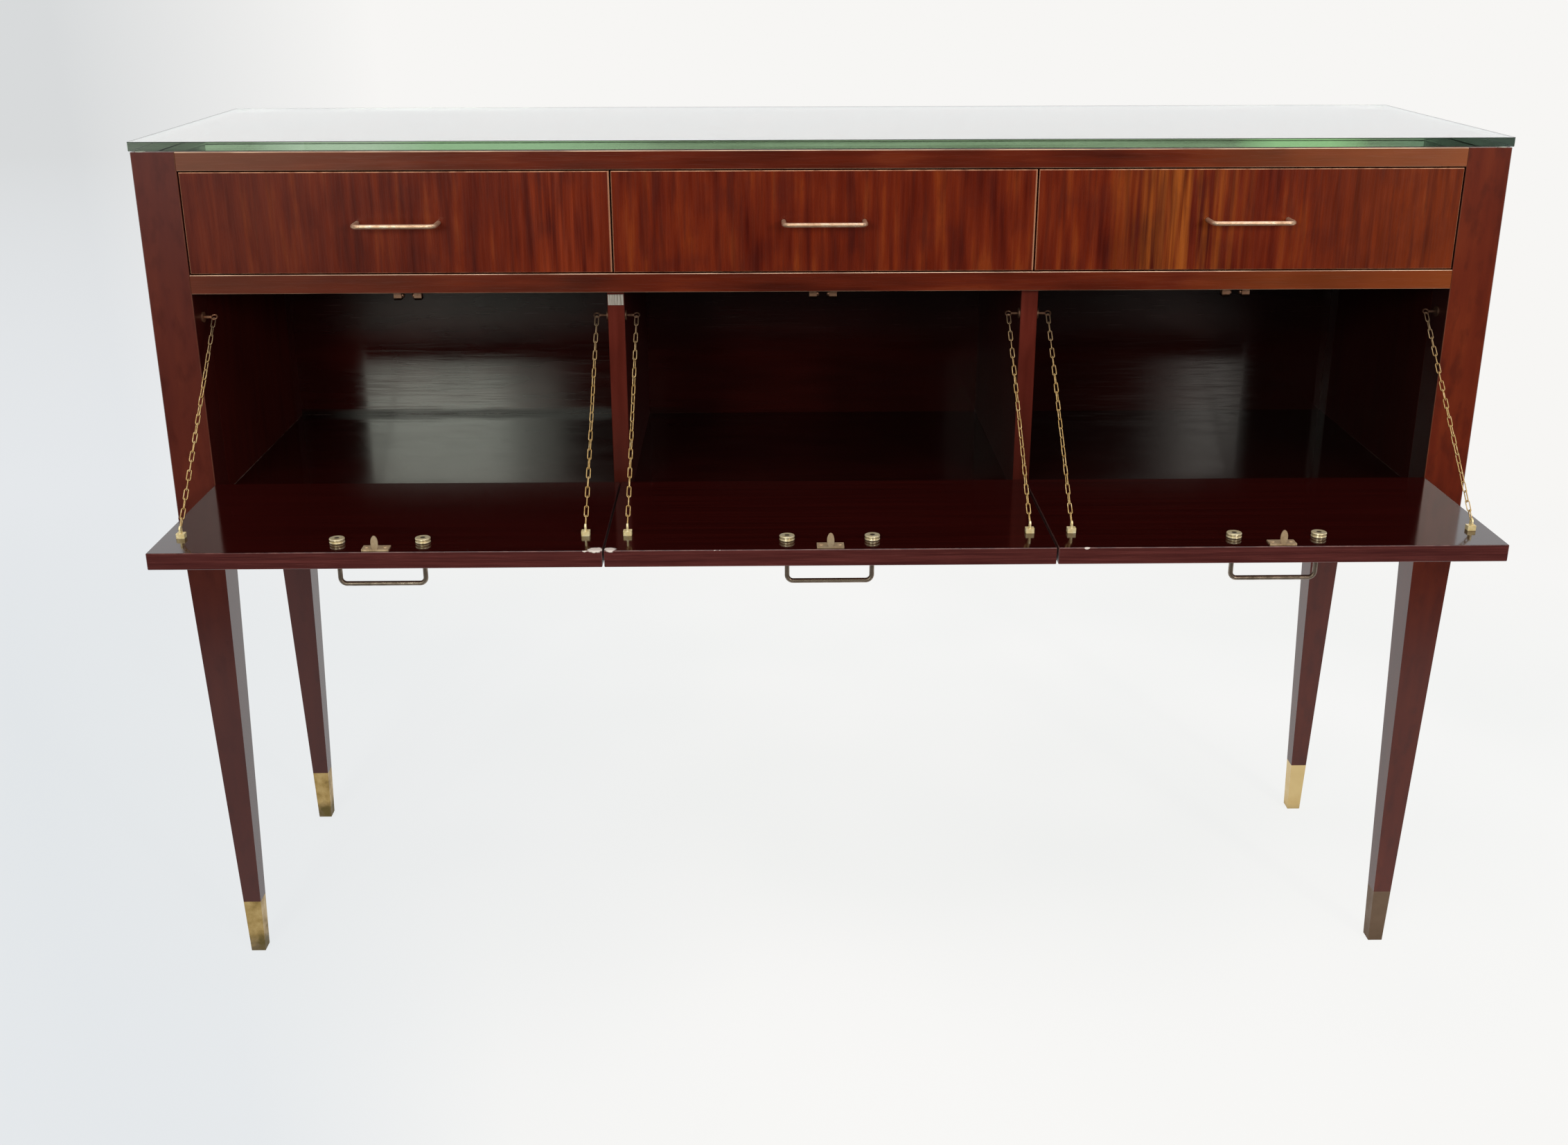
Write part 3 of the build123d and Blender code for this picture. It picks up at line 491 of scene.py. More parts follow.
def flap_wood():
    """Flap boards: stained and polished inside, purple-brown along the front, ribbon veneer outside."""
    material, tree, surface, coords = start_material("polished_mahogany_flaps")
    place = coords.outputs["Object"]
    inner = beyond(Z, FLAP_HIGH.z - 0.5 * MM, FLAP_HIGH.z - 0.15 * MM)(tree, place)
    outer = beyond(Z, FLAP_LOW.z + 0.5 * MM, FLAP_LOW.z + 0.15 * MM)(tree, place)
    front = beyond(Y, FLAP_LOW.y + 9 * MM, FLAP_LOW.y + 3 * MM)(tree, place)
    ribbon = grain(tree, place, 7.5, 420, Y, 2.0)
    long_grain = grain(tree, place, 4, 240, X, 3.0)
    fibre = grain(tree, place, FIBRE_WIDTH, FIBRE_LENGTH, X, 3.0)
    edge_tones = even_stops(("#3f1615", "#4d201d", "#5b2926"), FIGURE_LOW, FIGURE_HIGH)
    edges = add(tree, "ValToRGB", {
        0: weighted(tree, (long_grain, 0.6), (fibre, 0.4))}, stops=edge_tones)
    veneer = add(tree, "ValToRGB", {0: ribbon}, stops=even_stops(FRONT_TONES, FIGURE_LOW, FIGURE_HIGH))
    deep = tinted(tree, "#250605", "#2e0907", long_grain, FIGURE_LOW, FIGURE_HIGH)
    colour = tinted(tree, "#37130f", edges, front)
    colour = tinted(tree, colour, deep, inner)
    colour = tinted(tree, colour, veneer, outer)
    # Pale front arrises: partly polish rubbed off, partly a painted highlight
    patchy = grain(tree, place, 14, 14, X, 3.0)
    patchy = add(tree, "MapRange", {
        "Value": patchy, "From Min": 0.42, "From Max": 0.62, "To Min": 0.05, "To Max": 0.4})
    rubbed_and_lit_edge = add(tree, "Math", {0: arris_mask(tree, coords), 1: front}, operation="MULTIPLY")
    rubbed_and_lit_edge = add(tree, "Math", {0: rubbed_and_lit_edge, 1: patchy}, operation="MULTIPLY")
    colour = tinted(tree, colour, "#8e6258", rubbed_and_lit_edge)
    chips = chip_mask(tree, place)
    colour = tinted(tree, colour, "#d8cbc2", chips)
    polished = add(tree, "Math", {0: front, 1: inner}, operation="MAXIMUM")
    unpolished = add(tree, "MapRange", {"Value": polished, "From Min": 1.0, "From Max": 0.0})
    rough = weighted(tree, (inner, -0.16), (fibre, 0.05), (chips, 0.3), (unpolished, 0.3))
    rough = add(tree, "Math", {0: rough, 1: 0.24}, operation="ADD")
    bump = add(tree, "Bump", {"Height": fibre, "Strength": 0.08, "Distance": 0.1 * MM})
    fill(tree, surface, {"Base Color": colour, "Roughness": rough, "Normal": bump, "IOR": WOOD_IOR})
    return material


flap_board = flap_wood()


# Metal

# Lacquered brass that has aged: golden where it is rubbed, brown and olive where it is not. Its tones
# are spread between two values of its blotches, and its grit, in millimetres, is drawn coarse to show.
BRASS_LOW, BRASS_HIGH = 0.34, 0.66
BRASS_GRIT = 0.7


def brass(name, tones, rough, blotch, extra=None, metal=1.0):
    """Aged brass; tones run from tarnish to rubbed metal and blotch is the size of its patches in mm.

    metal below 1 is brass under old lacquer, which scatters some of the light.
    """
    material, tree, surface, coords = start_material(name)
    place = coords.outputs["Object"]
    cloud = grain(tree, place, blotch, blotch, Z, 4.0)
    grit = grain(tree, place, BRASS_GRIT, BRASS_GRIT, Z, 2.0)
    value = weighted(tree, (cloud, 0.75), (grit, 0.25))
    colour = add(tree, "ValToRGB", {0: value}, stops=even_stops(tones, BRASS_LOW, BRASS_HIGH))
    roughness = add(tree, "MapRange", {
        "Value": value, "From Min": 0.35, "From Max": 0.65,
        "To Min": rough + 0.12, "To Max": rough - 0.06})
    if extra:
        colour, roughness = extra(tree, place, colour, roughness)
    bump = add(tree, "Bump", {"Height": grit, "Strength": 0.1, "Distance": 0.08 * MM})
    fill(tree, surface, {
        "Base Color": colour, "Roughness": roughness, "Normal": bump, "Metallic": metal})
    return material


# Feet whose sabots differ from the others
RIGHT_FOOT_X = 0.726
FRONT_FOOT_Y, BACK_FOOT_Y = FRONT_Y + 24 * MM, FRONT_Y + 382 * MM


def sabot_tarnish(tree, place, colour, roughness):
    """Brown and olive tarnish that creeps up from the floor; one sabot is brown all over, one bright."""
    height = add(tree, "SeparateXYZ", {0: place}).outputs[Z]
    wander = grain(tree, place, 14, 14, Z, 3.0)
    level = weighted(tree, (height, 1.0), (wander, 30 * MM))
    low = add(tree, "MapRange", {"Value": level, "From Min": 44 * MM, "From Max": 26 * MM})
    olive = tinted(tree, "#6e5f3a", "#7b6a50", wander, 0.4, 0.6)
    colour = tinted(tree, colour, olive, low)
    browned = soft_spot(tree, place, (RIGHT_FOOT_X, FRONT_FOOT_Y, 0.045), (0.06, 0.06, 0.09), 0.7)
    colour = tinted(tree, colour, "#735f4e", browned)
    bright = soft_spot(tree, place, (RIGHT_FOOT_X, BACK_FOOT_Y, 0.055), (0.06, 0.06, 0.08), 0.6)
    colour = tinted(tree, colour, "#d8be88", bright)
    return colour, weighted(tree, (roughness, 1.0), (low, 0.16), (browned, 0.1))


def chain_darker_above(tree, place, colour, roughness):
    """The upper links, towards the eyes, are darker and greyer."""
    height = add(tree, "SeparateXYZ", {0: place}).outputs[Z]
    return tinted(tree, colour, "#8a7460", height, 0.765, 0.83), roughness


def catch_tip_shade(tree, place, colour, roughness):
    """Painted shade: the tips of the catch jaws, which grip the strike, are painted nearly black."""
    height = add(tree, "SeparateXYZ", {0: place}).outputs[Z]
    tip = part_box("flap_catches")[0].z
    return tinted(tree, colour, "#1c100c", height, tip + 3.4 * MM, tip + 2.2 * MM), roughness


def eye_left_highlight(tree, place, colour, roughness):
    """Painted highlight: the eye at the left end is painted paler than the others."""
    rubbed = soft_spot(tree, place, (-INNER_HALF, EYE_Y, EYE_Z), (40 * MM, 1, 1), 0.5)
    return tinted(tree, colour, "#a5765c", rubbed), roughness


# Sabots: golden above, brown and olive towards the floor
sabot_brass = brass(
    "aged_brass_sabots", ("#8a7145", "#a78b55", "#b79a64", "#c4a972"), 0.36, 16, sabot_tarnish)
# Drawer pulls: rubbed by hands to a pale rosy gold
drawer_pull_brass = brass(
    "worn_brass_drawer_pulls", ("#c69f80", "#dcb798", "#efd2b8"), 0.4, 9, metal=0.8)
# Flap pulls: browned all over
flap_pull_brass = brass(
    "browned_brass_flap_pulls", ("#706355", "#87796c", "#9b8e80"), 0.42, 9)
# Chain eyes: as dark as bronze, with a painted highlight on the left one
eye_brass = brass(
    "dark_bronzed_brass_eyes", ("#4a3226", "#604536", "#7c5c4a"), 0.5, 5, eye_left_highlight, 0.8)
# Nuts of the pulls: bright and pale
nut_brass = brass(
    "bright_brass_nuts", ("#cfbb8c", "#e6d6ae", "#f4e9cc"), 0.34, 6, metal=0.6)
# Strikes and their screws: pale and dull
strike_brass = brass(
    "dull_brass_strikes", ("#b79c79", "#d0b592", "#e0c8a6"), 0.46, 7, metal=0.75)
# Catch jaws: dull and coppery, with painted shade at their tips
catch_brass = brass(
    "dull_brass_catches", ("#8c6a56", "#a67f69", "#bc9780"), 0.4, 5, catch_tip_shade)
# Chain lugs: pale yellow under their lacquer
lug_brass = brass(
    "yellow_brass_lugs", ("#dec688", "#eedaa6", "#faf0cc"), 0.44, 4, metal=0.35)
# Chains: golden, and darker towards the eyes
chain_brass = brass(
    "golden_brass_chain", ("#b08c52", "#cba86c", "#e4ca98"), 0.42, 5, chain_darker_above, 0.7)
# Hinge leaves and their screws: brown
hinge_brass = brass(
    "brown_brass_hinges", ("#5d4a2e", "#7a6240", "#8f7650"), 0.38, 8)


# Glass, pads and the pale plate on the left divider

GLASS_IOR = 1.52
GLASS_ARRIS = 0.6 * MM
# Painted highlights, the lit stretches of the front edge: middle and reach along X, fully lit share of
# it, and tone
EDGE_LIGHTS = (
    (-0.4, 0.22, 0.4, "#bfe3ba"),
    (-0.52, 0.1, 0.3, "#ffffff"),
    (0.52, 0.075, 0.4, "#c4ffb6"),
    (0.72, 0.14, 0.4, "#5c7069"),
)


def float_glass():
    """Polished float glass: clear from above, and green along the edge, where one looks through more.
    Highlights are painted along its front edge, and shade on its ends, back and arrises.
    """
    material, tree, surface, coords = start_material("clear_float_glass")
    place = coords.outputs["Object"]
    front = beyond(Y, GLASS_LOW.y + 0.9 * MM, GLASS_LOW.y + 0.5 * MM)(tree, place)
    fine, broad = grain(tree, place, 2.4, 300, X, 3.0), grain(tree, place, 60, 160, X, 2.0)
    edge_tones = even_stops(("#626e5a", "#88957f", "#a9b8a1"), FIGURE_LOW, FIGURE_HIGH)
    edge = add(tree, "ValToRGB", {0: weighted(tree, (fine, 0.6), (broad, 0.4))}, stops=edge_tones)
    # Painted highlights along the front edge
    for centre, reach, core, tone in EDGE_LIGHTS:
        lit = soft_spot(tree, place, (centre, 0, 0), (reach, 10, 10), core)
        edge = tinted(tree, edge, tone, lit)
    colour = tinted(tree, "#f6fbf7", edge, front)
    # Painted shade: the ground ends, back and arrises of the glass are painted dark and made rough.
    facing = add(tree, "SeparateXYZ", {0: coords.outputs["Normal"]}).outputs
    sideways = add(tree, "Math", {0: facing[X]}, operation="ABSOLUTE")
    away = add(tree, "Math", {0: sideways, 1: facing[Y]}, operation="MAXIMUM")
    away = add(tree, "MapRange", {"Value": away, "From Min": 0.9, "From Max": 0.95})
    ground = add(tree, "Math", {0: arris_mask(tree, coords), 1: away}, operation="MAXIMUM")
    fill(tree, surface, {
        "Base Color": tinted(tree, colour, "#1c271f", ground),
        "Roughness": add(tree, "MapRange", {"Value": ground, "To Max": 0.55}),
        "IOR": GLASS_IOR,
        "Transmission Weight": 1.0})
    ray = add(tree, "LightPath").outputs["Is Shadow Ray"]
    clear = add(tree, "BsdfTransparent", {"Color": "#eef5f0"})
    body = add(tree, "VolumeAbsorption", {"Color": "#d7e4d3", "Density": 7.0})
    fill(tree, tree.nodes["Material Output"], {
        "Surface": add(tree, "MixShader", {0: ray, 1: surface, 2: clear}), "Volume": body})
    return material


def soft_pads():
    """Small discs of milky soft plastic that keep the glass off the wood."""
    material, tree, surface, coords = start_material("milky_plastic_pads")
    cloud = grain(tree, coords.outputs["Object"], 2.5, 2.5, Z, 2.0)
    colour = tinted(tree, "#d9dad6", "#f2f2ee", cloud, 0.35, 0.65)
    fill(tree, surface, {"Base Color": colour, "Roughness": 0.4, "IOR": 1.46})
    return material


def pale_plate():
    """Thin pale metal plate with upright scratches and a dark slit in its middle."""
    material, tree, surface, coords = start_material("scratched_pale_metal_plate")
    place = coords.outputs["Object"]
    streak = grain(tree, place, 1.1, 30, Z, 2.0)
    colour = add(tree, "ValToRGB", {0: streak}, stops=[
        (0.36, "#8d827a"), (0.5, "#c3b9b0"), (0.62, "#e6dfd8")])
    middle = (DIVIDER_LOW.x + DIVIDER_HIGH.x) / 2
    slit = soft_spot(tree, place, (middle - 0.8 * MM, 0, 0), (1.2 * MM, 1, 1), 0.5)
    fill(tree, surface, {
        "Base Color": tinted(tree, colour, "#4a3a34", slit),
        "Roughness": add(tree, "MapRange", {
            "Value": streak, "From Min": 0.35, "From Max": 0.65, "To Min": 0.5, "To Max": 0.3}),
        "Metallic": 0.6})
    return material


def dull_arris():
    """Painted shade in the ground arris of the glass: grey-green, dark and without shine."""
    material, tree, surface, coords = start_material("painted_shade_in_glass_arris")
    cloud = grain(tree, coords.outputs["Object"], 20, 20, Z, 2.0)
    colour = tinted(tree, "#1d211e", "#343a35", cloud, 0.35, 0.65)
    fill(tree, surface, {"Base Color": colour, "Roughness": 0.9, "Specular IOR Level": 0.0})
    return material


arris_painted_shade = dull_arris()

# Materials of the CAD nodes, by their whole name or by how it starts or ends
FINISHES = {
    "leg_sabots": sabot_brass, "glass_top": float_glass(), "glass_pads": soft_pads(),
    "divider_pad": pale_plate(), "top_front_rail": rail_wood, "middle_front_rail": rail_wood,
    "top_panel": top_wood, "drawer_shelf": shelf_wood, "bottom_panel": bottom_wood,
    "back_panel": back_wood, "drawer_partitions": drawer_wood,
    "drawer_guides_and_stops": drawer_wood, "flap_catches": catch_brass, "chain_eyes": eye_brass,
    "fixed_hinge_leaves": hinge_brass,
}
FINISHES_BY_START = {"post_": post_wood, "side_panel": side_wood, "divider_": divider_wood}
FINISHES_BY_END = {
    "_front": front_wood, "_sides_and_back": drawer_wood, "_bottom": drawer_wood,
    "_pull_nuts": nut_brass, "_strike": strike_brass, "_chain_lugs": lug_brass,
    "_hinge_leaves": hinge_brass, "_chains": chain_brass, "_panel": flap_board,
}


def finish_of(name):
    """Material of a CAD node, by its name."""
    if name in FINISHES:
        return FINISHES[name]
    if name.endswith("_pull"):
        return drawer_pull_brass if name.startswith("drawer") else flap_pull_brass
    for start, material in FINISHES_BY_START.items():
        if name.startswith(start):
            return material
    return next(material for end, material in FINISHES_BY_END.items() if name.endswith(end))


for name, node in nodes.items():
    node.data.materials.clear()
    node.data.materials.append(finish_of(name))


# New pieces


def finish_piece(name, shape, material):
    """Turns a finished bmesh into an object with its material and slot."""
    mesh = bpy.data.meshes.new(name)
    shape.to_mesh(mesh)
    shape.free()
    piece = bpy.data.objects.new(name, mesh)
    scene.collection.objects.link(piece)
    mesh.materials.append(material)
    return piece


# Painted shade: a dark strip in the arris along the two ends and the back of the glass, which draws a
# thin dark line there


def arris_strip(shape, first, last, inward):
    """Three-sided strip in the arris between two points of the top edge; inward points into the glass."""
    section = (Vector(), inward * GLASS_ARRIS, Vector((0, 0, -GLASS_ARRIS)))
    face = shape.faces.new([shape.verts.new(first + step) for step in section])
    drawn = bmesh.ops.extrude_face_region(shape, geom=[face])["geom"]
    far_end = [g for g in drawn if isinstance(g, bmesh.types.BMVert)]
    bmesh.ops.translate(shape, vec=last - first, verts=far_end)


arris_shape = bmesh.new()
near_y, far_y = GLASS_LOW.y + GLASS_ARRIS, GLASS_HIGH.y - GLASS_ARRIS
for side, edge_x in ((1, GLASS_LOW.x), (-1, GLASS_HIGH.x)):
    near_end, far_end = (Vector((edge_x, y, GLASS_HIGH.z)) for y in (near_y, far_y))
    arris_strip(arris_shape, near_end, far_end, Vector((side, 0, 0)))
left_x, right_x = GLASS_LOW.x + GLASS_ARRIS, GLASS_HIGH.x - GLASS_ARRIS
left_end, right_end = (Vector((x, GLASS_HIGH.y, GLASS_HIGH.z)) for x in (left_x, right_x))
arris_strip(arris_shape, left_end, right_end, Vector((0, -1, 0)))
bmesh.ops.recalc_face_normals(arris_shape, faces=arris_shape.faces)
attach(finish_piece("glass_arris_painted_shade", arris_shape, arris_painted_shade), "carcass")


# Chains of flat-ended links, each turned a quarter against the last and the chain slowly twisted

LINK_PITCH, LINK_WIRE, LINK_WIDTH = 12.2 * MM, 1.2 * MM, 5.2 * MM
LINK_CORNER, LINK_GAP = 1.5 * MM, 0.2 * MM
EYE_HOOK = 1.4 * MM
LUG_INSET, LUG_SETBACK, LUG_EYE_HEIGHT = 21 * MM, 50 * MM, 9.4 * MM
LUG_Y = FLAP_LOW.y + LUG_SETBACK
LUG_Z = FLAP_HIGH.z + LUG_EYE_HEIGHT
QUARTER = math.radians(90)


def link_mesh(reach):
    """One closed link of bent wire, lying flat, with its length along X."""
    half_length = reach / 2
    half_width = (LINK_WIDTH - LINK_WIRE) / 2
    inner_length, inner_width = half_length - LINK_CORNER, half_width - LINK_CORNER
    shape = bmesh.new()
    lay = Matrix.Translation((0, -half_width, 0)) @ Matrix.Rotation(QUARTER, 4, "Y")
    ring = bmesh.ops.create_circle(shape, segments=6, radius=LINK_WIRE / 2, matrix=lay)["verts"]
    edges = list({edge for vert in ring for edge in vert.link_edges})
    runs = (
        (Vector((inner_length, 0, 0)), (inner_length, -inner_width, 0)),
        (Vector((0, 2 * inner_width, 0)), (inner_length, inner_width, 0)),
        (Vector((-2 * inner_length, 0, 0)), (-inner_length, inner_width, 0)),
        (Vector((0, -2 * inner_width, 0)), (-inner_length, -inner_width, 0)),
        (Vector((inner_length, 0, 0)), None),
    )
    for step, corner in runs:
        made = bmesh.ops.extrude_edge_only(shape, edges=edges)["geom"]
        moved = [g for g in made if isinstance(g, bmesh.types.BMVert)]
        bmesh.ops.translate(shape, vec=step, verts=moved)
        edges = [g for g in made if isinstance(g, bmesh.types.BMEdge)]
        if corner:
            made = bmesh.ops.spin(
                shape, geom=edges, cent=corner, axis=(0, 0, 1), angle=QUARTER, steps=2)["geom_last"]
            edges = [g for g in made if isinstance(g, bmesh.types.BMEdge)]
    bmesh.ops.remove_doubles(shape, verts=shape.verts, dist=0.05 * MM)
    bmesh.ops.recalc_face_normals(shape, faces=shape.faces)
    for face in shape.faces:
        face.smooth = True
    mesh = bpy.data.meshes.new("chain_link")
    shape.to_mesh(mesh)
    shape.free()
    return mesh


def chain_places(upper, lower):
    """Length of the links of one chain and where each link lies."""
    along = (lower - upper).normalized()
    start = upper + along * EYE_HOOK
    span = (lower - start).length
    count = round(span / LINK_PITCH)
    step = LINK_WIRE + LINK_GAP
    reach = (span + (count - 1) * step) / count
    # The slow twist leaves the last link a quarter turn from the first.
    side_turn = 90 if count % 2 else 180
    roll = math.radians(90 + side_turn / (count - 1))
    across = Vector((1, 0, 0)).cross(along).normalized()
    flat = Matrix((along, across, along.cross(across))).transposed()
    places = []
    for index in range(count):
        middle = start + along * (reach / 2 + index * (reach - step))
        turned = Matrix.Rotation(QUARTER + index * roll, 3, "X")
        places.append(Matrix.Translation(middle) @ (flat @ turned).to_4x4())
    return reach, places


divider_half = (DIVIDER_HIGH.x - DIVIDER_LOW.x) / 2
bay_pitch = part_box("divider_right")[0].x - DIVIDER_LOW.x
for index, bay in enumerate(BAYS):
    panel_low, panel_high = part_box(f"flap_{bay}_panel")
    walls = [(index - 1) * bay_pitch + side * (bay_pitch / 2 - divider_half) for side in (-1, 1)]
    walls[0] = -INNER_HALF if bay == "left" else walls[0]
    walls[1] = INNER_HALF if bay == "right" else walls[1]
    shape = bmesh.new()
    for side, wall, end in zip((-1, 1), walls, (panel_low.x, panel_high.x)):
        upper = Vector((wall - side * EYE_REACH, EYE_Y, EYE_Z))
        lower = Vector((end - side * LUG_INSET, LUG_Y, LUG_Z))
        reach, places = chain_places(upper, lower)
        link = link_mesh(reach)
        for place in places:
            before = len(shape.verts)
            shape.from_mesh(link)
            shape.verts.ensure_lookup_table()
            bmesh.ops.transform(shape, matrix=place, verts=shape.verts[before:])
        bpy.data.meshes.remove(link)
    chain = finish_piece(f"flap_{bay}_chain_links", shape, chain_brass)
    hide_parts(f"flap_{bay}_chains")
    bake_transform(chain)


# Slotted screws of the strikes and of the hinge leaves let into the floor

SCREW_RADIUS, SCREW_RISE, SCREW_SLOT = 2.1 * MM, 0.45 * MM, 0.7 * MM
SCREW_SIDES = 24
SCREW_TAPER = 0.86
SEAT_RISE = SCREW_RISE * 0.3
SEAT_TAPER = 0.97


def join_shape(shape, part, lay):
    """Adds a part to a shape, laid by a matrix."""
    mesh = bpy.data.meshes.new("part")
    bmesh.ops.transform(part, matrix=lay, verts=part.verts)
    part.to_mesh(mesh)
    part.free()
    shape.from_mesh(mesh)
    bpy.data.meshes.remove(mesh)


def add_screw(shape, place, angle):
    """Round screw head with a slot, standing on its place."""
    lay = Matrix.Translation(place) @ Matrix.Rotation(angle, 4, "Z")
    for side in (-1, 1):
        head = bmesh.new()
        bmesh.ops.create_circle(head, cap_ends=True, segments=SCREW_SIDES, radius=SCREW_RADIUS)
        bmesh.ops.bisect_plane(
            head, geom=head.verts[:] + head.edges[:] + head.faces[:], dist=0.001 * MM,
            plane_co=(0, side * SCREW_SLOT / 2, 0), plane_no=(0, -side, 0), clear_outer=True)
        raised = bmesh.ops.extrude_face_region(head, geom=head.faces[:])["geom"]
        top = [g for g in raised if isinstance(g, bmesh.types.BMVert)]
        bmesh.ops.translate(head, vec=(0, 0, SCREW_RISE), verts=top)
        bmesh.ops.scale(head, vec=(SCREW_TAPER, SCREW_TAPER, 1), verts=top)
        bmesh.ops.recalc_face_normals(head, faces=head.faces)
        join_shape(shape, head, lay)
    seat = bmesh.new()
    bmesh.ops.create_cone(
        seat, cap_ends=True, segments=SCREW_SIDES, radius1=SCREW_RADIUS,
        radius2=SCREW_RADIUS * SEAT_TAPER, depth=SEAT_RISE)
    join_shape(shape, seat, lay @ Matrix.Translation((0, 0, SEAT_RISE / 2)))


STRIKE_SCREW_X, STRIKE_SCREW_SETBACK, STRIKE_THICKNESS = 9.6 * MM, 7 * MM, 1.4 * MM
HINGE_SPACING, HINGE_SCREW_SETBACK = 300 * MM, 9 * MM
HINGE_SCREW_STEPS = (-16, 0, 16)

# The slots of the screws lie at all angles, as they were driven.
fixed_screws = bmesh.new()
for index, bay in enumerate(BAYS):
    centre = (index - 1) * bay_pitch
    screw_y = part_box(f"flap_{bay}_strike")[0].y + STRIKE_SCREW_SETBACK
    screw_z = FLAP_HIGH.z + STRIKE_THICKNESS
    shape = bmesh.new()
    for side in (-1, 1):
        add_screw(shape, (centre + side * STRIKE_SCREW_X, screw_y, screw_z), side * 0.5 + index)
    screws = finish_piece(f"strike_{bay}_screws", shape, strike_brass)
    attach(screws, f"flap_{bay}")
    for side in (-1, 1):
        for step in HINGE_SCREW_STEPS:
            screw_x = centre + side * HINGE_SPACING / 2 + step * MM
            add_screw(fixed_screws, (screw_x, FRONT_Y + HINGE_SCREW_SETBACK, FLOOR_Z), 0.4 * step + index)
hinge_screws = finish_piece("hinge_leaf_screws", fixed_screws, hinge_brass)
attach(hinge_screws, "carcass")


# Stage

# White paper that runs out into the background: its front and half its width in metres, its tones
# near the sideboard and far from it, and how much of what the camera sees of it is its own glow
FLOOR_FRONT, FLOOR_HALF = -1.0, 40
PAPER_LOW, PAPER_HIGH, PAPER_LEFT = "#f4f5f4", "#f9f9f8", "#e4e8eb"
FAR_PAPER, FAR_LEFT_NEAR, FAR_LEFT_END = "#f7f6f4", "#e5e8eb", "#d8dadb"
CLOUDS_TO_A_METRE = 1.2
# The shade at the left fans out from a point this far in front.
SHADE_ORIGIN = 2.0
GLOW_SHARE, GLOW = 0.87, 1.03
FAR_BOUNCE = 0.55


def pale_floor():
    """Matt white paper that fades into the background some metres from the sideboard."""
    material, tree, surface, coords = start_material("matt_white_paper_floor")
    tree.nodes.remove(surface)
    place = coords.outputs["Object"]
    ray = add(tree, "LightPath").outputs
    seen = add(tree, "Math", {0: ray["Is Camera Ray"], 1: ray["Is Glossy Ray"]}, operation="MAXIMUM")
    seen = add(tree, "Math", {0: seen, 1: ray["Is Transmission Ray"]}, operation="MAXIMUM")
    # The paper falls off into a soft bluish shade towards the left.
    sideways, depth, _ = add(tree, "SeparateXYZ", {0: place}).outputs
    reach = add(tree, "Math", {0: depth, 1: SHADE_ORIGIN}, operation="ADD")
    slant = add(tree, "Math", {0: sideways, 1: reach}, operation="DIVIDE")
    cloud = add(tree, "TexNoise", {"Vector": place, "Scale": CLOUDS_TO_A_METRE, "Detail": 2.0})
    tone = tinted(tree, PAPER_LOW, PAPER_HIGH, cloud, 0.35, 0.65)
    tone = tinted(tree, tone, PAPER_LEFT, slant, -0.05, -0.5)
    matt = add(tree, "BsdfDiffuse", {"Color": tone})
    # Seen in the polish of the legs, the floor in front lies in the dark of the room.
    in_front = add(tree, "MapRange", {
        "Value": depth, "From Min": FRONT_Y - 0.15, "From Max": FRONT_Y - 0.6, "To Max": 0.85})
    mirrored = add(tree, "Math", {0: ray["Is Glossy Ray"], 1: in_front}, operation="MULTIPLY")
    strength = add(tree, "MapRange", {"Value": mirrored, "To Min": GLOW, "To Max": 0.0})
    glow = add(tree, "Emission", {"Color": tone, "Strength": strength})
    glow_share = add(tree, "Math", {0: seen, 1: GLOW_SHARE}, operation="MULTIPLY")
    near = add(tree, "MixShader", {0: glow_share, 1: matt, 2: glow})
    left_tone = tinted(tree, FAR_LEFT_NEAR, FAR_LEFT_END, depth, 2.0, 9.0)
    far_tone = tinted(tree, FAR_PAPER, left_tone, slant, -0.22, -0.4)
    far_level = add(tree, "MapRange", {"Value": seen, "To Min": FAR_BOUNCE})
    far = add(tree, "Emission", {"Color": far_tone, "Strength": far_level})
    fade = soft_spot(tree, place, (0, 0.6, 0), (3.2, 1.5, 1), 0.3)
    fill(tree, tree.nodes["Material Output"], {
        "Surface": add(tree, "MixShader", {0: fade, 1: far, 2: near})})
    return material


floor_shape = bmesh.new()
bmesh.ops.create_grid(floor_shape, x_segments=1, y_segments=1, size=FLOOR_HALF)
bmesh.ops.translate(floor_shape, vec=(0, FLOOR_HALF + FLOOR_FRONT, 0), verts=floor_shape.verts)
floor_mesh = bpy.data.meshes.new("floor")
floor_shape.to_mesh(floor_mesh)
floor_shape.free()
floor = bpy.data.objects.new("floor", floor_mesh)
scene.collection.objects.link(floor)
floor_mesh.materials.append(pale_floor())

# Light of the room itself, and the paper behind the sideboard as polish, glass and camera see it
AMBIENT = 0.4
MIRRORED_FRONT, MIRRORED_BACK = 0.04, 1.08
SEEN_BACKDROP = 0.89

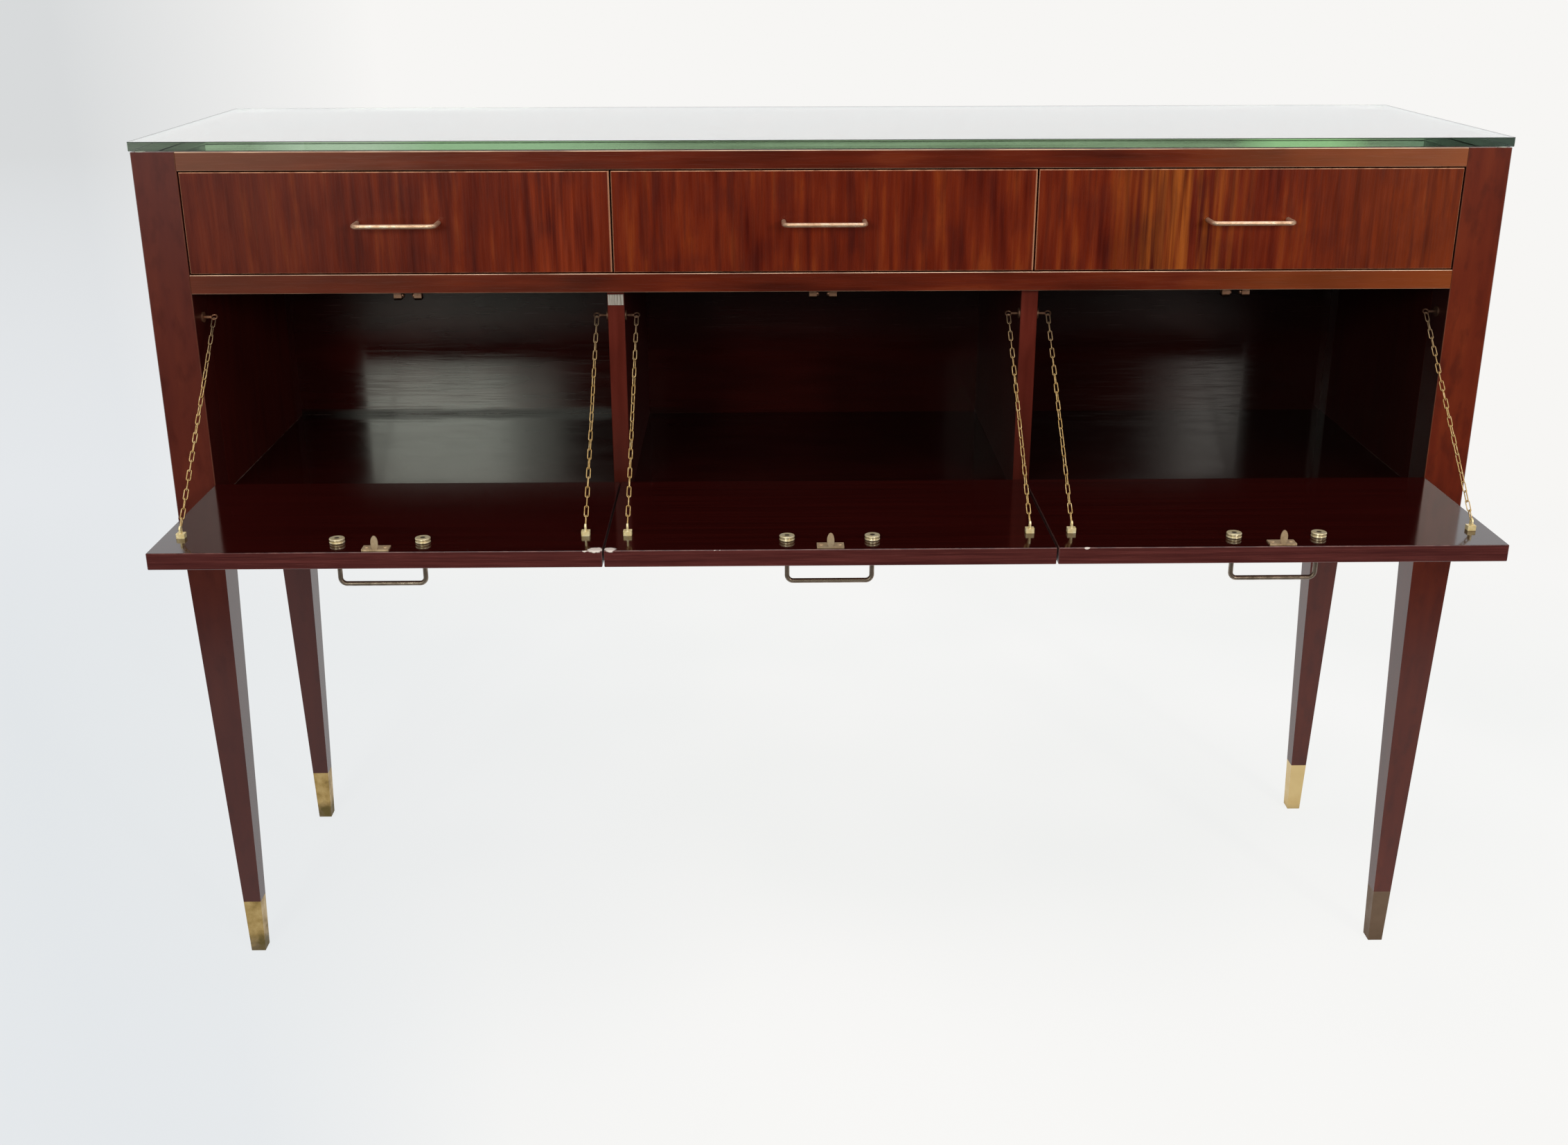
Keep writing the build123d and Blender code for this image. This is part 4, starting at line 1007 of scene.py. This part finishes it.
world = bpy.data.worlds.new("studio")
scene.world = world
world.use_nodes = True
sky = world.node_tree
ray = add(sky, "LightPath").outputs
heading = add(sky, "TexCoord").outputs["Generated"]
toward_back = add(sky, "SeparateXYZ", {0: heading}).outputs[Y]
mirrored = add(sky, "MapRange", {
    "Value": toward_back, "From Min": -0.4, "From Max": 0.2,
    "To Min": MIRRORED_FRONT, "To Max": MIRRORED_BACK})
through = add(sky, "Math", {0: ray["Is Glossy Ray"], 1: ray["Is Transmission Ray"]}, operation="MAXIMUM")
strength = add(sky, "Mix", {"Factor": through, "A": AMBIENT, "B": mirrored})
strength = add(sky, "Mix", {"Factor": ray["Is Camera Ray"], "A": strength, "B": SEEN_BACKDROP})
fill(sky, sky.nodes["Background"], {"Strength": strength, "Color": "#fdfeff"})


def soft_light(name, place, target, size, radiance, colour):
    """Rectangular soft light; radiance is how bright its face is, with 1 as white."""
    lamp = bpy.data.lights.new(name, "AREA")
    lamp.shape = "RECTANGLE"
    lamp.size, lamp.size_y = size
    lamp.energy = radiance * size[0] * size[1] * math.pi
    lamp.color = srgb(colour)[:3]
    light = bpy.data.objects.new(name, lamp)
    scene.collection.objects.link(light)
    direction = Vector(target) - Vector(place)
    turned = direction.to_track_quat("-Z", "Y").to_matrix().to_4x4()
    light.matrix_world = Matrix.Translation(place) @ turned


# Tall windows and their curtains behind the camera: X, height, size, brightness and colour
WINDOW_Y = -3.5
WINDOWS = {
    "left_window": (-1.27, 1.86, (0.54, 0.8), 24.5, "#f5fcec"),
    "left_window_curtain": (-0.91, 1.86, (0.18, 0.8), 8, "#f5fcec"),
    "left_window_sill": (-1.18, 1.2, (0.74, 0.42), 0.4, "#fbfdf4"),
    "far_left_window": (-1.93, 1.84, (0.36, 0.84), 18, "#fff8f0"),
    "right_window": (1.6, 1.84, (0.2, 0.84), 8.5, "#fffaf0"),
    "right_window_curtain": (1.44, 1.84, (0.12, 0.84), 2.6, "#fffaf0"),
    "far_right_window": (2.18, 1.84, (0.36, 0.84), 46, "#fff5e8"),
}
for name, (x, z, size, radiance, colour) in WINDOWS.items():
    soft_light(name, (x, WINDOW_Y, z), (x, 0, z), size, radiance, colour)
# A soft light overhead and a pale card low at the left
soft_light("top_light", (0.2, -1.2, 3.3), (0, -0.1, 0.4), (3.2, 2.2), 1.9, "#ffffff")
soft_light("left_card", (-2.4, -4.6, 0.62), (-2.4, 0, 0.62), (1.3, 0.75), 0.8, "#f4f7ff")
